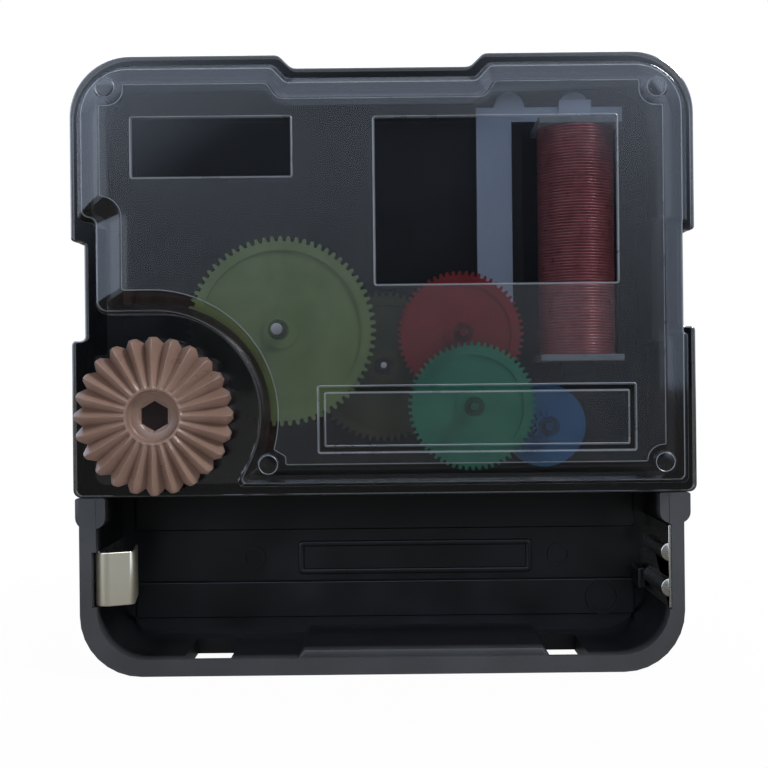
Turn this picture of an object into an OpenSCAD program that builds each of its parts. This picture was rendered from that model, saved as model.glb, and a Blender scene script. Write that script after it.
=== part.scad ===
// Quartz clock movement: a black base with a battery bay, a smoke-clear cover,
// a stepping motor, two gear trains and a setting knob.
// The plan is drawn as seen from the back, with depth counted from the dial face,
// and stand() turns it so that +Z is twelve o'clock and +Y points to the dial.

/* [Case] */
// How far the cover's flange reaches beyond the bay's walls
rim_w = 0.75; // [0.5:0.05:1]
// Height of the top wall over the centre shaft
head_h = 28; // [27.75:0.25:29]
// Radius of the case's four corners
case_corner_r = 5.5; // [4:0.5:6]
// Thickness of the base's floor
floor_t = 1.2; // [1:0.1:1.5]
// Thickness of the base's walls round the train
wall_t = 1.3; // [1:0.1:1.5]
// Thickness of the base's walls round the battery
bay_wall_t = 1.5; // [1.3:0.1:1.7]

/* [Cover] */
// Depth of the cover behind the front of its flange
dome_h = 4; // [3.8:0.1:5]
// Thickness of the cover's back
cover_t = 1.2; // [1:0.1:1.4]
// Thickness of the cover's flange
flange_t = 1; // [0.8:0.1:1.2]
// Width of the flange round the raised part
flange_w = 1.1; // [0.8:0.1:1.3]
// Width of the chamfer round the cover's back
chamfer_w = 1.6; // [1.3:0.1:1.7]
// Depth of the recessed windows
window_depth = 0.15; // [0.1:0.05:0.3]
// Radius of the scoop round the knob
scoop_r = 9.4; // [9:0.1:9.8]

/* [Battery bay] */
// Distance from the centre shaft down to the bay
bay_drop = 11.5; // [11.4:0.1:12.5]
// Diameter of the cell
cell_d = 14.5; // [14:0.1:14.8]
// Length of the cell
cell_l = 50.5; // [49.5:0.5:51]
// Room round the cell
cell_play = 0.2; // [0.1:0.05:0.4]

/* [Stem and hands] */
// Outer radius of the threaded stem
stem_r = 3.95; // [3.8:0.05:4.2]
// Length of the stem in front of the dial face
stem_len = 5; // [4:0.5:14]
// Radius of the hour hand's seat
hour_seat_r = 2.75; // [2.6:0.05:2.85]
// Radius of the minute hand's seat
minute_seat_r = 1.75; // [1.6:0.05:1.8]
// Radius of the second hand's pin
second_pin_r = 0.5; // [0.4:0.05:0.55]
// Length of each hand's seat
hand_seat_len = 2.5; // [2:0.25:4]

/* [Gear train] */
// Thickness of a plain wheel
wheel_t = 0.8; // [0.7:0.05:0.9]
// Thickness of the two fine wheels
fine_wheel_t = 0.6; // [0.5:0.05:0.65]
// Gap along the axis between pieces that pass each other
play = 0.2; // [0.15:0.05:0.25]
// Radial gap between a shaft and its hole
shaft_play = 0.06; // [0.04:0.01:0.08]
// Radius of the wheels' arbors
arbor_r = 0.5; // [0.45:0.05:0.6]
// Radius of the pivots at the arbors' ends
pivot_r = 0.3; // [0.25:0.05:0.35]
// Module of the two fine stages
fine_m = 0.19; // [0.18:0.005:0.19]
// Module of the seconds wheel
seconds_m = 0.2125; // [0.2:0.0025:0.2125]
// Module of the third wheel
third_m = 0.2355; // [0.225:0.0005:0.236]
// Module of the setting gears
works_m = 0.25; // [0.24:0.005:0.25]

/* [Setting knob] */
// Radius of the knob
knob_r = 7; // [6.5:0.1:7.2]
// Height of the knob
knob_h = 2.7; // [2.2:0.1:2.8]
// Number of ribs on the knob
knob_ribs = 24; // [18:1:30]

/* [Motor] */
// Radius of the coil's winding
coil_r = 3.55; // [3.2:0.05:3.6]
// Distance from the winding up to the case's top
coil_gap = 6.35; // [6.3:0.05:8]
// Radius of the rotor's magnet
magnet_r = 2.5; // [2.2:0.1:2.6]
// Thickness of the stator's plates
stator_t = 0.8; // [0.6:0.1:0.8]

/* [Hidden] */
$fn = 64;

// Tooth numbers of the running train
rotor_teeth = 12;
green_teeth = 60;
green_pinion = 10;
red_teeth = 60;
red_pinion = 8;
seconds_teeth = 64;
seconds_pinion = 12;
third_teeth = 72;
third_pinion = 8;
centre_teeth = 80;

// Tooth numbers of the setting train
knob_teeth = 18;
idler_teeth = 32;
minute_teeth = 36;
cannon_teeth = 12;
minute_pinion = 10;
hour_teeth = 40;

// Directions from one arbor to the next, in degrees seen from the back
red_dir = 21.9;
green_dir = -82.1;
rotor_dir = -15.3;
third_dir = 160.7;
setting_dir = 191.9;

function spacing(n1, n2, m) = m*(n1 + n2)/2;
function polar(r, a) = [r*cos(a), r*sin(a)];

// Arbor places in the plan, from the centre shaft
red_at = polar(spacing(red_pinion, seconds_teeth, seconds_m), red_dir);
green_at = red_at + polar(spacing(green_pinion, red_teeth, fine_m), green_dir);
rotor_at = green_at + polar(spacing(rotor_teeth, green_teeth, fine_m), rotor_dir);
third_gap = spacing(seconds_pinion, third_teeth, third_m);
third_at = polar(third_gap, third_dir);
centre_m = 2*third_gap/(third_pinion + centre_teeth);
minute_gap = spacing(cannon_teeth, minute_teeth, works_m);
minute_at = polar(minute_gap, setting_dir);
idler_at = minute_at + polar(spacing(minute_teeth, idler_teeth, works_m), setting_dir);
knob_at = idler_at + polar(spacing(idler_teeth, knob_teeth, works_m), setting_dir);
hour_m = 2*minute_gap/(minute_pinion + hour_teeth);

// Depths from the dial face, each from the one before it
stem_flange_t = 0.6;
hour_z = floor_t + stem_flange_t + play;
works_z = hour_z + wheel_t + play;
centre_t = 0.7;
centre_z = works_z + wheel_t + 0.3;
third_pinion_z = works_z + wheel_t + play;
plate_z = centre_z + centre_t + 0.6;
plate_t = 1.2;
plate_top = plate_z + plate_t;
seconds_z = plate_top + 1.4;
seconds_t = 0.7;
stator_z = seconds_z + play;
core_t = 0.8;
coil_z = stator_z + stator_t + core_t/2;
red_z = stator_z + stator_t + 0.6;
third_z = red_z + fine_wheel_t + 0.3;
green_z = third_z + wheel_t;
flange_z = third_z + wheel_t + 0.7;
flange_top = flange_z + flange_t;
case_d = flange_z + dome_h;
cover_z = case_d - cover_t;
arbor_top = cover_z - 2.1;
pivot_top = cover_z - 0.5;
boss_z = arbor_top + play;
bay_rim_z = flange_top;

// Outline of the case in the plan
bay_len = cell_l + 5*cell_play;
case_w = bay_len + 2*(bay_wall_t + rim_w);
side = case_w/2;
top = head_h;
cover_foot = -bay_drop - 0.1;
notch_depth = 1.2;
top_notch_half = 8.6;
left_notch = [2.5, 11.4];
right_notch = [3.3, 11.9];

// Battery bay in the plan, a little left of the shaft, and the base's outline round it
bay_left = -bay_len/2 - 0.25;
bay_right = bay_left + bay_len;
base_left = bay_left - bay_wall_t;
base_right = bay_right + bay_wall_t - 0.2;
bay_high = -bay_drop;
bay_low = bay_high - cell_d - cell_play;
base_foot = bay_low - bay_wall_t;
base_top = top - 0.3;
case_h = top - base_foot;
partition_t = 1;
bay_corner_r = case_corner_r - 1;

// Colours
black_abs = [0.10, 0.10, 0.11];
smoke = [0.22, 0.24, 0.28, 0.45];
brass = [0.78, 0.64, 0.34];
steel = [0.72, 0.73, 0.75];

module stand() {
    rotate([90, 0, 0]) children();
}

// Puts a flat shape between two depths
module slab(z0, z1) {
    translate([0, 0, z0]) linear_extrude(z1 - z0) children();
}

module rod(at, r, z0, z1) {
    translate([at[0], at[1], z0]) cylinder(h = z1 - z0, r = r);
}

module box(x0, x1, y0, y1, z0, z1) {
    translate([x0, y0, z0]) cube([x1 - x0, y1 - y0, z1 - z0]);
}

// Rounded outlines. A corner is [x, y, radius], and the corners run anticlockwise.
function unit(v) = v/norm(v);
function left_of(v) = [-v[1], v[0]];
function xy(c) = [c[0], c[1]];
function around(a, b) = b - a > 180 ? b - 360 : b - a < -180 ? b + 360 : b;

function fillet(before, corner, after, steps) =
    let (p = xy(corner), u = unit(xy(before) - p), v = unit(xy(after) - p))
    let (half = acos(u*v)/2, c = p + unit(u + v)*corner[2]/sin(half))
    let (s = p + u*corner[2]/tan(half) - c, e = p + v*corner[2]/tan(half) - c)
    let (a = atan2(s[1], s[0]), b = around(a, atan2(e[1], e[0])))
    [for (i = [0:steps]) c + corner[2]*[cos(a + (b - a)*i/steps), sin(a + (b - a)*i/steps)]];

function rounded(corners, steps = 8) =
    let (n = len(corners))
    [for (i = [0:n - 1]) each fillet(corners[(i + n - 1) % n], corners[i], corners[(i + 1) % n], steps)];

// The same corners moved inwards by t. Only the wide corners get tighter.
function inset(corners, t) =
    let (n = len(corners))
    [for (i = [0:n - 1])
        let (p = xy(corners[i]))
        let (u = unit(p - xy(corners[(i + n - 1) % n])), v = unit(xy(corners[(i + 1) % n]) - p))
        let (m = left_of(u) + left_of(v), s = t/(1 + left_of(u)*left_of(v)))
        let (r = corners[i][2])
        [p[0] + m[0]*s, p[1] + m[1]*s, r > 2 ? r - t : r]];

// An outline between left and right sides, a foot and a head, with the case's three notches
function case_corners(left, right, foot, head, foot_r) = [
    [left, foot, foot_r], [right, foot, foot_r],
    [right, right_notch[0], 0.4], [right - notch_depth, right_notch[0], 0.4],
    [right - notch_depth, right_notch[1], 0.4], [right, right_notch[1], 0.4],
    [right, head, case_corner_r],
    [top_notch_half + 0.6, head, 1], [top_notch_half - 0.6, head - notch_depth, 1],
    [-top_notch_half + 0.6, head - notch_depth, 1], [-top_notch_half - 0.6, head, 1],
    [left, head, case_corner_r],
    [left, left_notch[1], 0.4], [left + notch_depth, left_notch[1], 0.4],
    [left + notch_depth, left_notch[0], 0.4], [left, left_notch[0], 0.4]
];

// A shell through rings of equal point counts, given as [depth, points]
module loft(rings) {
    n = len(rings[0][1]);
    last = len(rings) - 1;
    points = [for (ring = rings) each [for (p = ring[1]) [p[0], p[1], ring[0]]]];
    sides = [for (k = [0:last - 1]) each [for (i = [0:n - 1])
        let (a = k*n + i, b = k*n + (i + 1) % n)
        each [[a, a + n, b], [b, a + n, b + n]]]];
    bottom = [for (i = [0:n - 1]) i];
    lid = [for (i = [n - 1:-1:0]) last*n + i];
    polyhedron(points, concat([bottom], sides, [lid]));
}

// Gear teeth. A tooth is [height above the pitch circle, depth below it,
// and its share of the pitch at the foot, at the pitch circle and at the tip].
wheel_tooth = [0.8, 1.2, 0.54, 0.44, 0.24];
pinion_tooth = [0.75, 1.25, 0.42, 0.42, 0.24];

function tooth_of(n) = n < 20 ? pinion_tooth : wheel_tooth;

module teeth(n, m, phase, z0, z1) {
    t = tooth_of(n);
    r = m*n/2;
    step = 360/n;
    flank = [[r - t[1]*m, t[2]], [r, t[3]], [r + t[0]*m, t[4]]];
    slab(z0, z1) polygon([for (i = [0:n - 1]) each [
        for (p = flank) polar(p[0], phase + step*(i - p[1]/2)),
        for (k = [2:-1:0]) polar(flank[k][0], phase + step*(i + flank[k][1]/2))
    ]]);
}

// Phase that puts a second gear in mesh with a first one, which lies the other way along dir
function mesh(phase, n1, n2, dir) = dir + 180 + ((dir - phase)*n1 + 180)/n2;

// A toothed disc with a thinner web between its hub and its rim
module wheel(n, m, phase, z0, t, hub_r) {
    rim_r = m*n/2 - 1.2*m - 0.8;
    dish = t*0.3;
    difference() {
        teeth(n, m, phase, z0, z0 + t);
        translate([0, 0, z0 + t - dish]) difference() {
            cylinder(h = t, r = rim_r);
            cylinder(h = t, r = hub_r);
        }
    }
}

module arbor(z0, z1, z2, z3) {
    rod([0, 0], pivot_r, z0, z3);
    rod([0, 0], arbor_r, z1, z2);
}

module at(p) {
    translate([p[0], p[1], 0]) children();
}

// Base

pillars = [
    [base_left + 2.3, 10.4], [base_right - 1.9, top - 5.2], [base_right - 1.9, cover_foot + 3],
    [-8, cover_foot + 2.3], [3.5, top - 3.7]
];
pillar_r = 0.9;
post_r = 0.5;
knob_shaft_r = 1.2;
third_post_r = 0.7;

// The base, whose walls widen to a rim under the cover's flange
rim_step = 0.15;

module base_plan() {
    polygon(rounded(case_corners(base_left, base_right, base_foot, base_top, case_corner_r)));
    polygon(rounded(case_corners(-side + rim_step, side - rim_step, cover_foot, top - rim_step, 0.5)));
}

module bay_plan() {
    polygon(rounded([
        [bay_left, bay_low, bay_corner_r], [bay_right, bay_low, bay_corner_r],
        [bay_right, bay_high, 0.5], [bay_left, bay_high, 0.5]
    ]));
}

// The room inside the base's walls above the partition
module train_plan(gap) {
    foot = bay_high + partition_t - wall_t;
    polygon(rounded(inset(case_corners(base_left, base_right, foot, base_top, 1), wall_t + gap)));
}

// Window under the rim of the bottom wall, with the rounded bar that grips the cell
grip_at = [-16.2, 16.1];
grip_w = 4.3;
grip_bar_w = 5.8;
grip_bar_r = 0.4;
grip_z = [bay_rim_z - 9.4, bay_rim_z - 0.6];

module grip_window(x) {
    box(x - grip_w/2, x + grip_w/2, base_foot - 1, bay_low + 1, grip_z[0], grip_z[1]);
}

module grip_bar(x) {
    y = bay_low + 0.05;
    z = grip_z[1] - 2.5;
    half = grip_bar_w/2 - grip_bar_r;
    translate([x - half, y, z]) rotate([0, 90, 0]) cylinder(h = 2*half, r = grip_bar_r, $fn = 24);
    for (s = [-1, 1]) translate([x + s*half, y, z]) sphere(r = grip_bar_r, $fn = 24);
}

// Rounded tongue on the rim at the foot of the cover
module tongue(x0, x1) {
    slab(bay_rim_z - 3, bay_rim_z - 0.05) polygon(rounded([
        [x0, cover_foot - 2.8, 1], [x1, cover_foot - 2.8, 1],
        [x1, cover_foot - 0.05, 0.2], [x0, cover_foot - 0.05, 0.2]
    ], 6));
}

module front_case() {
    color(black_abs) stand() {
        difference() {
            union() {
                slab(0, flange_z) base_plan();
                slab(flange_z - 0.5, bay_rim_z) intersection() {
                    base_plan();
                    translate([-case_w, -case_h]) square([2*case_w, case_h + cover_foot - 0.05]);
                }
            }
            slab(floor_t, case_d) bay_plan();
            slab(floor_t, case_d) train_plan(0);
            rod([0, 0], neck_r + 0.05, -1, floor_t + 1);
            for (x = grip_at) grip_window(x);
            box(clip_x - 0.05, bay_left + 1, strip_y[0] - 0.1, strip_y[1] + 0.1, floor_t, case_d);
            box(bay_right - 1, contact_x + strip_t, contact_y[0] - 0.1, contact_y[1] + 0.1, floor_t, case_d);
        }
        for (x = grip_at) grip_bar(x);
        tongue(base_left - 0.35, bay_left + 0.85);
        tongue(bay_right - 0.85, base_right + 0.6);
        for (p = pillars) rod(p, pillar_r, floor_t - 0.1, plate_z);
        rod(minute_at, post_r, floor_t - 0.1, works_z + wheel_t);
        rod(idler_at, post_r + 0.2, floor_t - 0.1, works_z + wheel_t);
        rod(idler_at, post_r + 0.7, floor_t - 0.1, works_z - play);
        difference() {
            rod(third_at, third_post_r, floor_t - 0.1, third_pinion_z - 0.3);
            rod(third_at, pivot_r + shaft_play, floor_t, case_d);
        }
        difference() {
            rod(knob_at, knob_shaft_r + 0.5, floor_t - 0.1, works_z - play);
            rod(knob_at, post_r + shaft_play, floor_t, case_d);
        }
    }
}

// Cover

// The last step passes the back's plane, which cuts it off
dome_steps = [
    [flange_top - flange_t/2, 0.15], [case_d - chamfer_w - 0.1, 0.3],
    [case_d - 0.2, chamfer_w + 0.2], [case_d + 0.5, chamfer_w + 1.1]
];
dome_step = 1.6;
dome_corners = [
    [-side + flange_w + dome_step, cover_foot + flange_w, 0.5], [side - flange_w, cover_foot + flange_w, 0.5],
    [side - flange_w, top - flange_w, case_corner_r - flange_w],
    [top_notch_half + 1, top - flange_w, 1], [top_notch_half - 0.2, top - flange_w - notch_depth, 1],
    [-top_notch_half + 0.2, top - flange_w - notch_depth, 1], [-top_notch_half - 1, top - flange_w, 1],
    [-side + flange_w, top - flange_w, case_corner_r - flange_w],
    [-side + flange_w, left_notch[1] + 2, 0.6], [-side + flange_w + dome_step, left_notch[1] + 2, 0.8]
];
cover_wall = 0.9;
scoop_top = 4.7;
scoop_left = -17.2;
window_1 = [-side + 5.6, -8.2, top - 11.6, top - 6.2];
window_2 = [-1, side - 7.5, 6.9, top - 6.2];
frame_3 = [-6, side - 5.9, cover_foot + 3.7, -1.75];
frame_w = 0.6;
pegs = [[-side + 3.5, top - 3.8], [side - 4, top - 4.3], [-10.4, cover_foot + 3], [side - 6.1, cover_foot + 3.2]];
peg_r = 0.6;

module scoop(grow, z0, lean) {
    rod_h = case_d + 1 - z0;
    translate([knob_at[0], knob_at[1], z0])
        cylinder(h = rod_h, r1 = scoop_r + grow, r2 = scoop_r + grow + lean, $fn = 96);
    box(-case_w, scoop_left, cover_foot - 5, scoop_top + grow, z0, case_d + 1);
}

module cover_cavity() {
    difference() {
        union() {
            slab(flange_z - 1, case_d - chamfer_w - 0.8) polygon(rounded(inset(dome_corners, cover_wall)));
            slab(flange_z, cover_z) polygon(rounded(inset(dome_corners, chamfer_w + 0.4)));
        }
        scoop(cover_wall, flange_z - 2, 0);
    }
}

module recess(w) {
    box(w[0], w[1], w[2], w[3], case_d - window_depth, case_d + 1);
}

module back_cover() {
    color(smoke) stand() {
        difference() {
            union() {
                slab(flange_z, flange_top) polygon(rounded(case_corners(-side, side, cover_foot, top, 0.7)));
                loft([for (s = dome_steps) [s[0], rounded(inset(dome_corners, s[1]))]]);
            }
            box(-case_w, case_w, -case_h, case_h, case_d, case_d + 1);
            scoop(0, flange_top - 0.05, 0.5);
            cover_cavity();
            rod(knob_at, knob_shaft_r + shaft_play, 0, case_d + 1);
            recess(window_1);
            recess(window_2);
            difference() {
                recess(frame_3);
                recess([frame_3[0] + frame_w, frame_3[1] - frame_w, frame_3[2] + frame_w, frame_3[3] - frame_w]);
            }
        }
        for (p = [[0, 0], third_at, red_at, green_at, rotor_at]) difference() {
            rod(p, pivot_r + 0.7, boss_z, cover_z + 0.1);
            rod(p, pivot_r + shaft_play, 0, pivot_top + play);
        }
        for (p = pegs) rod(p, peg_r, flange_z - 1, cover_z + 0.1);
    }
}

// Plate between the two trains

coil_x = 17.9;
coil_low = 0.85;
coil_high = top - coil_gap;
bobbin_t = 0.6;
coil_pocket = [coil_x - coil_r - 1, coil_x + coil_r + 1, coil_low - bobbin_t - 0.6, coil_high + 1.4];
stator_posts = [[10.4, coil_high - 2.15], [10.4, 9.5], [21.3, -4.6]];
plate_gap = 0.3;

module train_plate() {
    color(black_abs) stand() {
        difference() {
            slab(plate_z, plate_top) train_plan(plate_gap);
            box(coil_pocket[0], coil_pocket[1], coil_pocket[2], coil_pocket[3], 0, case_d);
            rod([0, 0], second_arbor_r + 0.4, 0, case_d);
            rod(third_at, arbor_r + 0.5, 0, case_d);
            rod(knob_at, knob_shaft_r + 0.4, 0, case_d);
            for (p = [red_at, green_at, rotor_at]) rod(p, pivot_r + shaft_play, 0, case_d);
        }
        for (p = stator_posts) rod(p, 0.8, plate_top - 0.1, stator_z);
    }
}

// Hands' shafts and setting train

hour_end = -(stem_len + 0.8 + hand_seat_len);
minute_end = hour_end - 0.2 - hand_seat_len;
second_end = minute_end - hand_seat_len;
neck_r = stem_r + 0.3;

// Each hand's seat is turned down from the tube behind it, and stands clear of the tube outside it
shoulder = 0.17;
seat_step = 0.2;
hour_tube_r = hour_seat_r + shoulder;
minute_tube_r = minute_seat_r + shoulder;
second_arbor_r = second_pin_r + shoulder;
sleeve_r = 1.1;

module threaded_stem() {
    color(brass) stand() difference() {
        union() {
            rod([0, 0], stem_r, -stem_len, 0.1);
            rod([0, 0], neck_r, 0, floor_t + 0.1);
            rod([0, 0], neck_r + 1.1, floor_t, floor_t + stem_flange_t);
        }
        rod([0, 0], hour_tube_r + shaft_play, -case_d, case_d);
    }
}

hour_phase = mesh(0, minute_pinion, hour_teeth, setting_dir - 180);
idler_phase = mesh(0, knob_teeth, idler_teeth, setting_dir - 180);
minute_phase = mesh(idler_phase, idler_teeth, minute_teeth, setting_dir - 180);
cannon_phase = mesh(minute_phase, minute_teeth, cannon_teeth, setting_dir - 180);

module hour_wheel() {
    color([0.88, 0.88, 0.86]) stand() difference() {
        union() {
            teeth(hour_teeth, hour_m, hour_phase, hour_z, hour_z + wheel_t);
            rod([0, 0], hour_tube_r, -stem_len - seat_step, hour_z + 0.1);
            rod([0, 0], hour_seat_r, hour_end, 0);
        }
        rod([0, 0], minute_tube_r + shaft_play, -case_d, case_d);
    }
}

module minute_tube() {
    color(brass) stand() difference() {
        union() {
            teeth(cannon_teeth, works_m, cannon_phase, works_z, works_z + wheel_t);
            rod([0, 0], minute_tube_r, hour_end - seat_step, works_z - 0.1);
            rod([0, 0], minute_seat_r, minute_end, 0);
            rod([0, 0], works_m*cannon_teeth/2 - works_m, works_z - 0.2, works_z + 0.2);
            rod([0, 0], sleeve_r, works_z, centre_z + centre_t + 0.2);
        }
        rod([0, 0], second_arbor_r + shaft_play, -case_d, case_d);
    }
}

module minute_wheel() {
    color([0.93, 0.92, 0.88]) stand() at(minute_at) difference() {
        union() {
            wheel(minute_teeth, works_m, minute_phase, works_z, wheel_t, 1.4);
            teeth(minute_pinion, hour_m, 0, hour_z, works_z + 0.1);
        }
        rod([0, 0], post_r + shaft_play, 0, case_d);
    }
}

module setting_idler() {
    color([0.93, 0.92, 0.88]) stand() at(idler_at) difference() {
        wheel(idler_teeth, works_m, idler_phase, works_z, wheel_t, 1.6);
        rod([0, 0], post_r + 0.2 + shaft_play, 0, case_d);
    }
}

knob_z = flange_top + 0.3;

module setting_arbor() {
    color([0.85, 0.84, 0.80]) stand() at(knob_at) {
        rod([0, 0], post_r, floor_t + 0.2, works_z + 0.1);
        teeth(knob_teeth, works_m, 0, works_z, works_z + wheel_t);
        rod([0, 0], knob_shaft_r, works_z + 0.1, knob_z + 1);
    }
}

// Knob face: rings as [radius, height, ripple of the radius, ripple of the height]
knob_dish_r = 2.4;
knob_rings = [
    [knob_r - 0.9, 0, 0.25, 0],
    [knob_r - 0.35, 0.9, 0.3, 0],
    [knob_r - 0.35, 1.3, 0.3, 0],
    [knob_r - 0.25, 1.35, 0.25, 0],
    [knob_r - 0.1, knob_h - 0.9, 0.25, 0],
    [knob_r - 0.9, knob_h - 0.45, 0.1, 0.3],
    [knob_dish_r + 1.5, knob_h - 0.15, 0, 0.2],
    [knob_dish_r + 0.3, knob_h, 0, 0.04],
    [knob_dish_r, knob_h - 0.35, 0, 0]
];
knob_steps = 4;

function ripple(i) = cos(360*i/knob_steps);

module knob_body() {
    n = knob_ribs*knob_steps;
    last = len(knob_rings) - 1;
    points = [for (ring = knob_rings) each [for (i = [0:n - 1])
        let (p = polar(ring[0] + ring[2]*ripple(i), 360*i/n))
        [p[0], p[1], ring[1] + ring[3]*ripple(i)]]];
    sides = [for (k = [0:last - 1]) each [for (i = [0:n - 1])
        let (a = k*n + i, b = k*n + (i + 1) % n)
        each [[a, a + n, b], [b, a + n, b + n]]]];
    under = [for (i = [0:n - 1]) i];
    face = [for (i = [n - 1:-1:0]) last*n + i];
    polyhedron(points, concat([under], sides, [face]));
}

module setting_knob() {
    color([0.62, 0.50, 0.45]) stand() at(knob_at) difference() {
        translate([0, 0, knob_z]) knob_body();
        rod([0, 0], 1.15, knob_z + knob_h - 1.3, case_d + 1);
        rod([0, 0], knob_shaft_r, 0, knob_z + 1);
    }
}

// Running train

third_phase = mesh(0, seconds_pinion, third_teeth, third_dir);
centre_phase = mesh(0, third_pinion, centre_teeth, third_dir + 180);
red_phase = mesh(0, seconds_teeth, red_pinion, red_dir);
green_phase = mesh(0, red_teeth, green_pinion, green_dir);
rotor_phase = mesh(0, green_teeth, rotor_teeth, rotor_dir);

module centre_gear() {
    color([0.90, 0.88, 0.80]) stand() difference() {
        wheel(centre_teeth, centre_m, centre_phase, centre_z, centre_t, 2.2);
        rod([0, 0], sleeve_r + 0.04, 0, case_d);
    }
}

module third_wheel() {
    color([0.62, 0.72, 0.28]) stand() at(third_at) {
        arbor(floor_t + 0.9, third_pinion_z, arbor_top, pivot_top);
        teeth(third_pinion, centre_m, 0, third_pinion_z, third_pinion_z + centre_t + 0.2);
        wheel(third_teeth, third_m, third_phase, third_z, wheel_t, 1.6);
    }
}

module seconds_arbor() {
    color(steel) stand() {
        rod([0, 0], second_arbor_r, minute_end - seat_step, arbor_top);
        rod([0, 0], second_pin_r, second_end, 0);
        rod([0, 0], pivot_r, arbor_top - 0.1, pivot_top);
    }
}

module seconds_wheel() {
    color([0.40, 0.42, 0.22]) stand() difference() {
        union() {
            wheel(seconds_teeth, seconds_m, 0, seconds_z, seconds_t, 1.6);
            rod([0, 0], seconds_pinion*third_m/2 - third_m, seconds_z, third_z - 0.1);
            teeth(seconds_pinion, third_m, 0, third_z - 0.1, third_z + wheel_t + 0.1);
        }
        rod([0, 0], second_arbor_r, 0, case_d);
    }
}

module red_reduction_wheel() {
    color([0.72, 0.13, 0.14]) stand() at(red_at) {
        arbor(plate_z, plate_top + play, arbor_top, pivot_top);
        teeth(red_pinion, seconds_m, red_phase, seconds_z - 0.1, seconds_z + seconds_t + 0.1);
        wheel(red_teeth, fine_m, 0, red_z, fine_wheel_t, 1.4);
    }
}

module green_reduction_wheel() {
    color([0.16, 0.62, 0.45]) stand() at(green_at) {
        arbor(plate_z, plate_top + play, arbor_top, pivot_top);
        teeth(green_pinion, fine_m, green_phase, red_z - 0.1, red_z + fine_wheel_t + 0.1);
        wheel(green_teeth, fine_m, 0, green_z, fine_wheel_t, 1.5);
    }
}

rotor_disc_r = 3.8;
sleeve_bore_r = 0.8;

module rotor_wheel() {
    color([0.16, 0.34, 0.66]) stand() at(rotor_at) {
        arbor(plate_z, plate_top + play, arbor_top, pivot_top);
        rod([0, 0], sleeve_bore_r, stator_z - 0.4, red_z);
        rod([0, 0], rotor_disc_r, red_z, red_z + 1.2);
        rod([0, 0], 1.6, red_z + 1.1, green_z - 0.3);
        teeth(rotor_teeth, fine_m, rotor_phase, green_z - 0.1, green_z + fine_wheel_t + 0.1);
    }
}

module rotor_magnet() {
    color([0.25, 0.25, 0.27]) stand() at(rotor_at) difference() {
        rod([0, 0], magnet_r, stator_z - 0.2, stator_z + stator_t + 0.3);
        rod([0, 0], sleeve_bore_r, 0, case_d);
    }
}

// Motor

rotor_hole_r = magnet_r + 0.5;
stator_ring_r = rotor_hole_r + 1.3;
arm_x = [8.8, 12.1];
pad_x = [8.8, 22.4];
lobe_r = 1.4;
pad_y = [coil_high + bobbin_t + 0.3, coil_high + bobbin_t + 0.3 + lobe_r];
lobe_x = [11.9, coil_x];

module stator_long_arm() {
    color(steel) stand() slab(stator_z, stator_z + stator_t) difference() {
        union() {
            polygon([
                [arm_x[0], pad_y[1] - 1], [arm_x[0], -0.8], [rotor_at[0] - stator_ring_r + 0.4, rotor_at[1] + 1],
                rotor_at, [rotor_at[0] - 0.4, rotor_at[1] + stator_ring_r - 0.2], [arm_x[1], 0.6],
                [arm_x[1], pad_y[1] - 1]
            ]);
            translate([pad_x[0], pad_y[0]]) square([pad_x[1] - pad_x[0], pad_y[1] - pad_y[0]]);
            for (x = lobe_x) translate([x, pad_y[1]]) circle(r = lobe_r);
            translate(rotor_at) circle(r = stator_ring_r);
        }
        translate(rotor_at) circle(r = rotor_hole_r);
        translate([rotor_at[0] - 0.15, rotor_at[1] - 10]) square([20, 20 - 0.1]);
    }
}

module stator_short_arm() {
    color(steel) stand() slab(stator_z, stator_z + stator_t) difference() {
        union() {
            translate(rotor_at) circle(r = stator_ring_r);
            polygon([
                rotor_at, [rotor_at[0] + 2, rotor_at[1] - stator_ring_r + 0.4], [23, rotor_at[1] - 2.4],
                [23, coil_low - bobbin_t - 0.1], [coil_x - 2, coil_low - bobbin_t - 0.1],
                [rotor_at[0] + 0.8, rotor_at[1] + stator_ring_r - 0.2]
            ]);
        }
        translate(rotor_at) circle(r = rotor_hole_r);
        translate([rotor_at[0] - 20 + 0.15, rotor_at[1] - 10]) square([20, 20]);
    }
}

core_half = 1.5;

module coil_core() {
    color([0.62, 0.64, 0.68]) stand()
        box(coil_x - core_half, coil_x + core_half, coil_low - bobbin_t - 1.2, pad_y[1] + 0.5,
            coil_z - core_t/2, coil_z + core_t/2);
}

module along_coil(y0, y1) {
    translate([coil_x, y0, coil_z]) rotate([-90, 0, 0]) linear_extrude(y1 - y0) children();
}

module coil_bobbin() {
    color([0.80, 0.84, 0.88]) stand() difference() {
        union() {
            along_coil(coil_low - bobbin_t, coil_high + bobbin_t) circle(r = 2.1);
            for (y = [coil_low - bobbin_t, coil_high])
                along_coil(y, y + bobbin_t) square([2*coil_r + 0.4, 2*coil_r - 0.2], center = true);
        }
        box(coil_x - core_half, coil_x + core_half, -case_h, case_h, coil_z - core_t/2, coil_z + core_t/2);
    }
}

module coil_winding() {
    color([0.50, 0.10, 0.09]) stand() difference() {
        along_coil(coil_low, coil_high) circle(r = coil_r);
        along_coil(0, case_h) circle(r = 2.1);
    }
}

// Electronics under the plate

board = [base_left + 3.9, -2.4, top - 15.8, top - 3.4];
board_z = floor_t + 1.6;
board_t = 0.8;

module circuit_board() {
    color([0.10, 0.35, 0.20]) stand()
        box(board[0], board[1], board[2], board[3], board_z, board_z + board_t);
}

module ic_blob() {
    color([0.05, 0.05, 0.05]) stand() translate([-9, board[2] + 6.4, board_z + board_t]) intersection() {
        translate([0, 0, -3.2]) sphere(r = 4.2);
        translate([-5, -5, 0]) cube([10, 10, 5]);
    }
}

crystal_r = 0.55;

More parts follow.
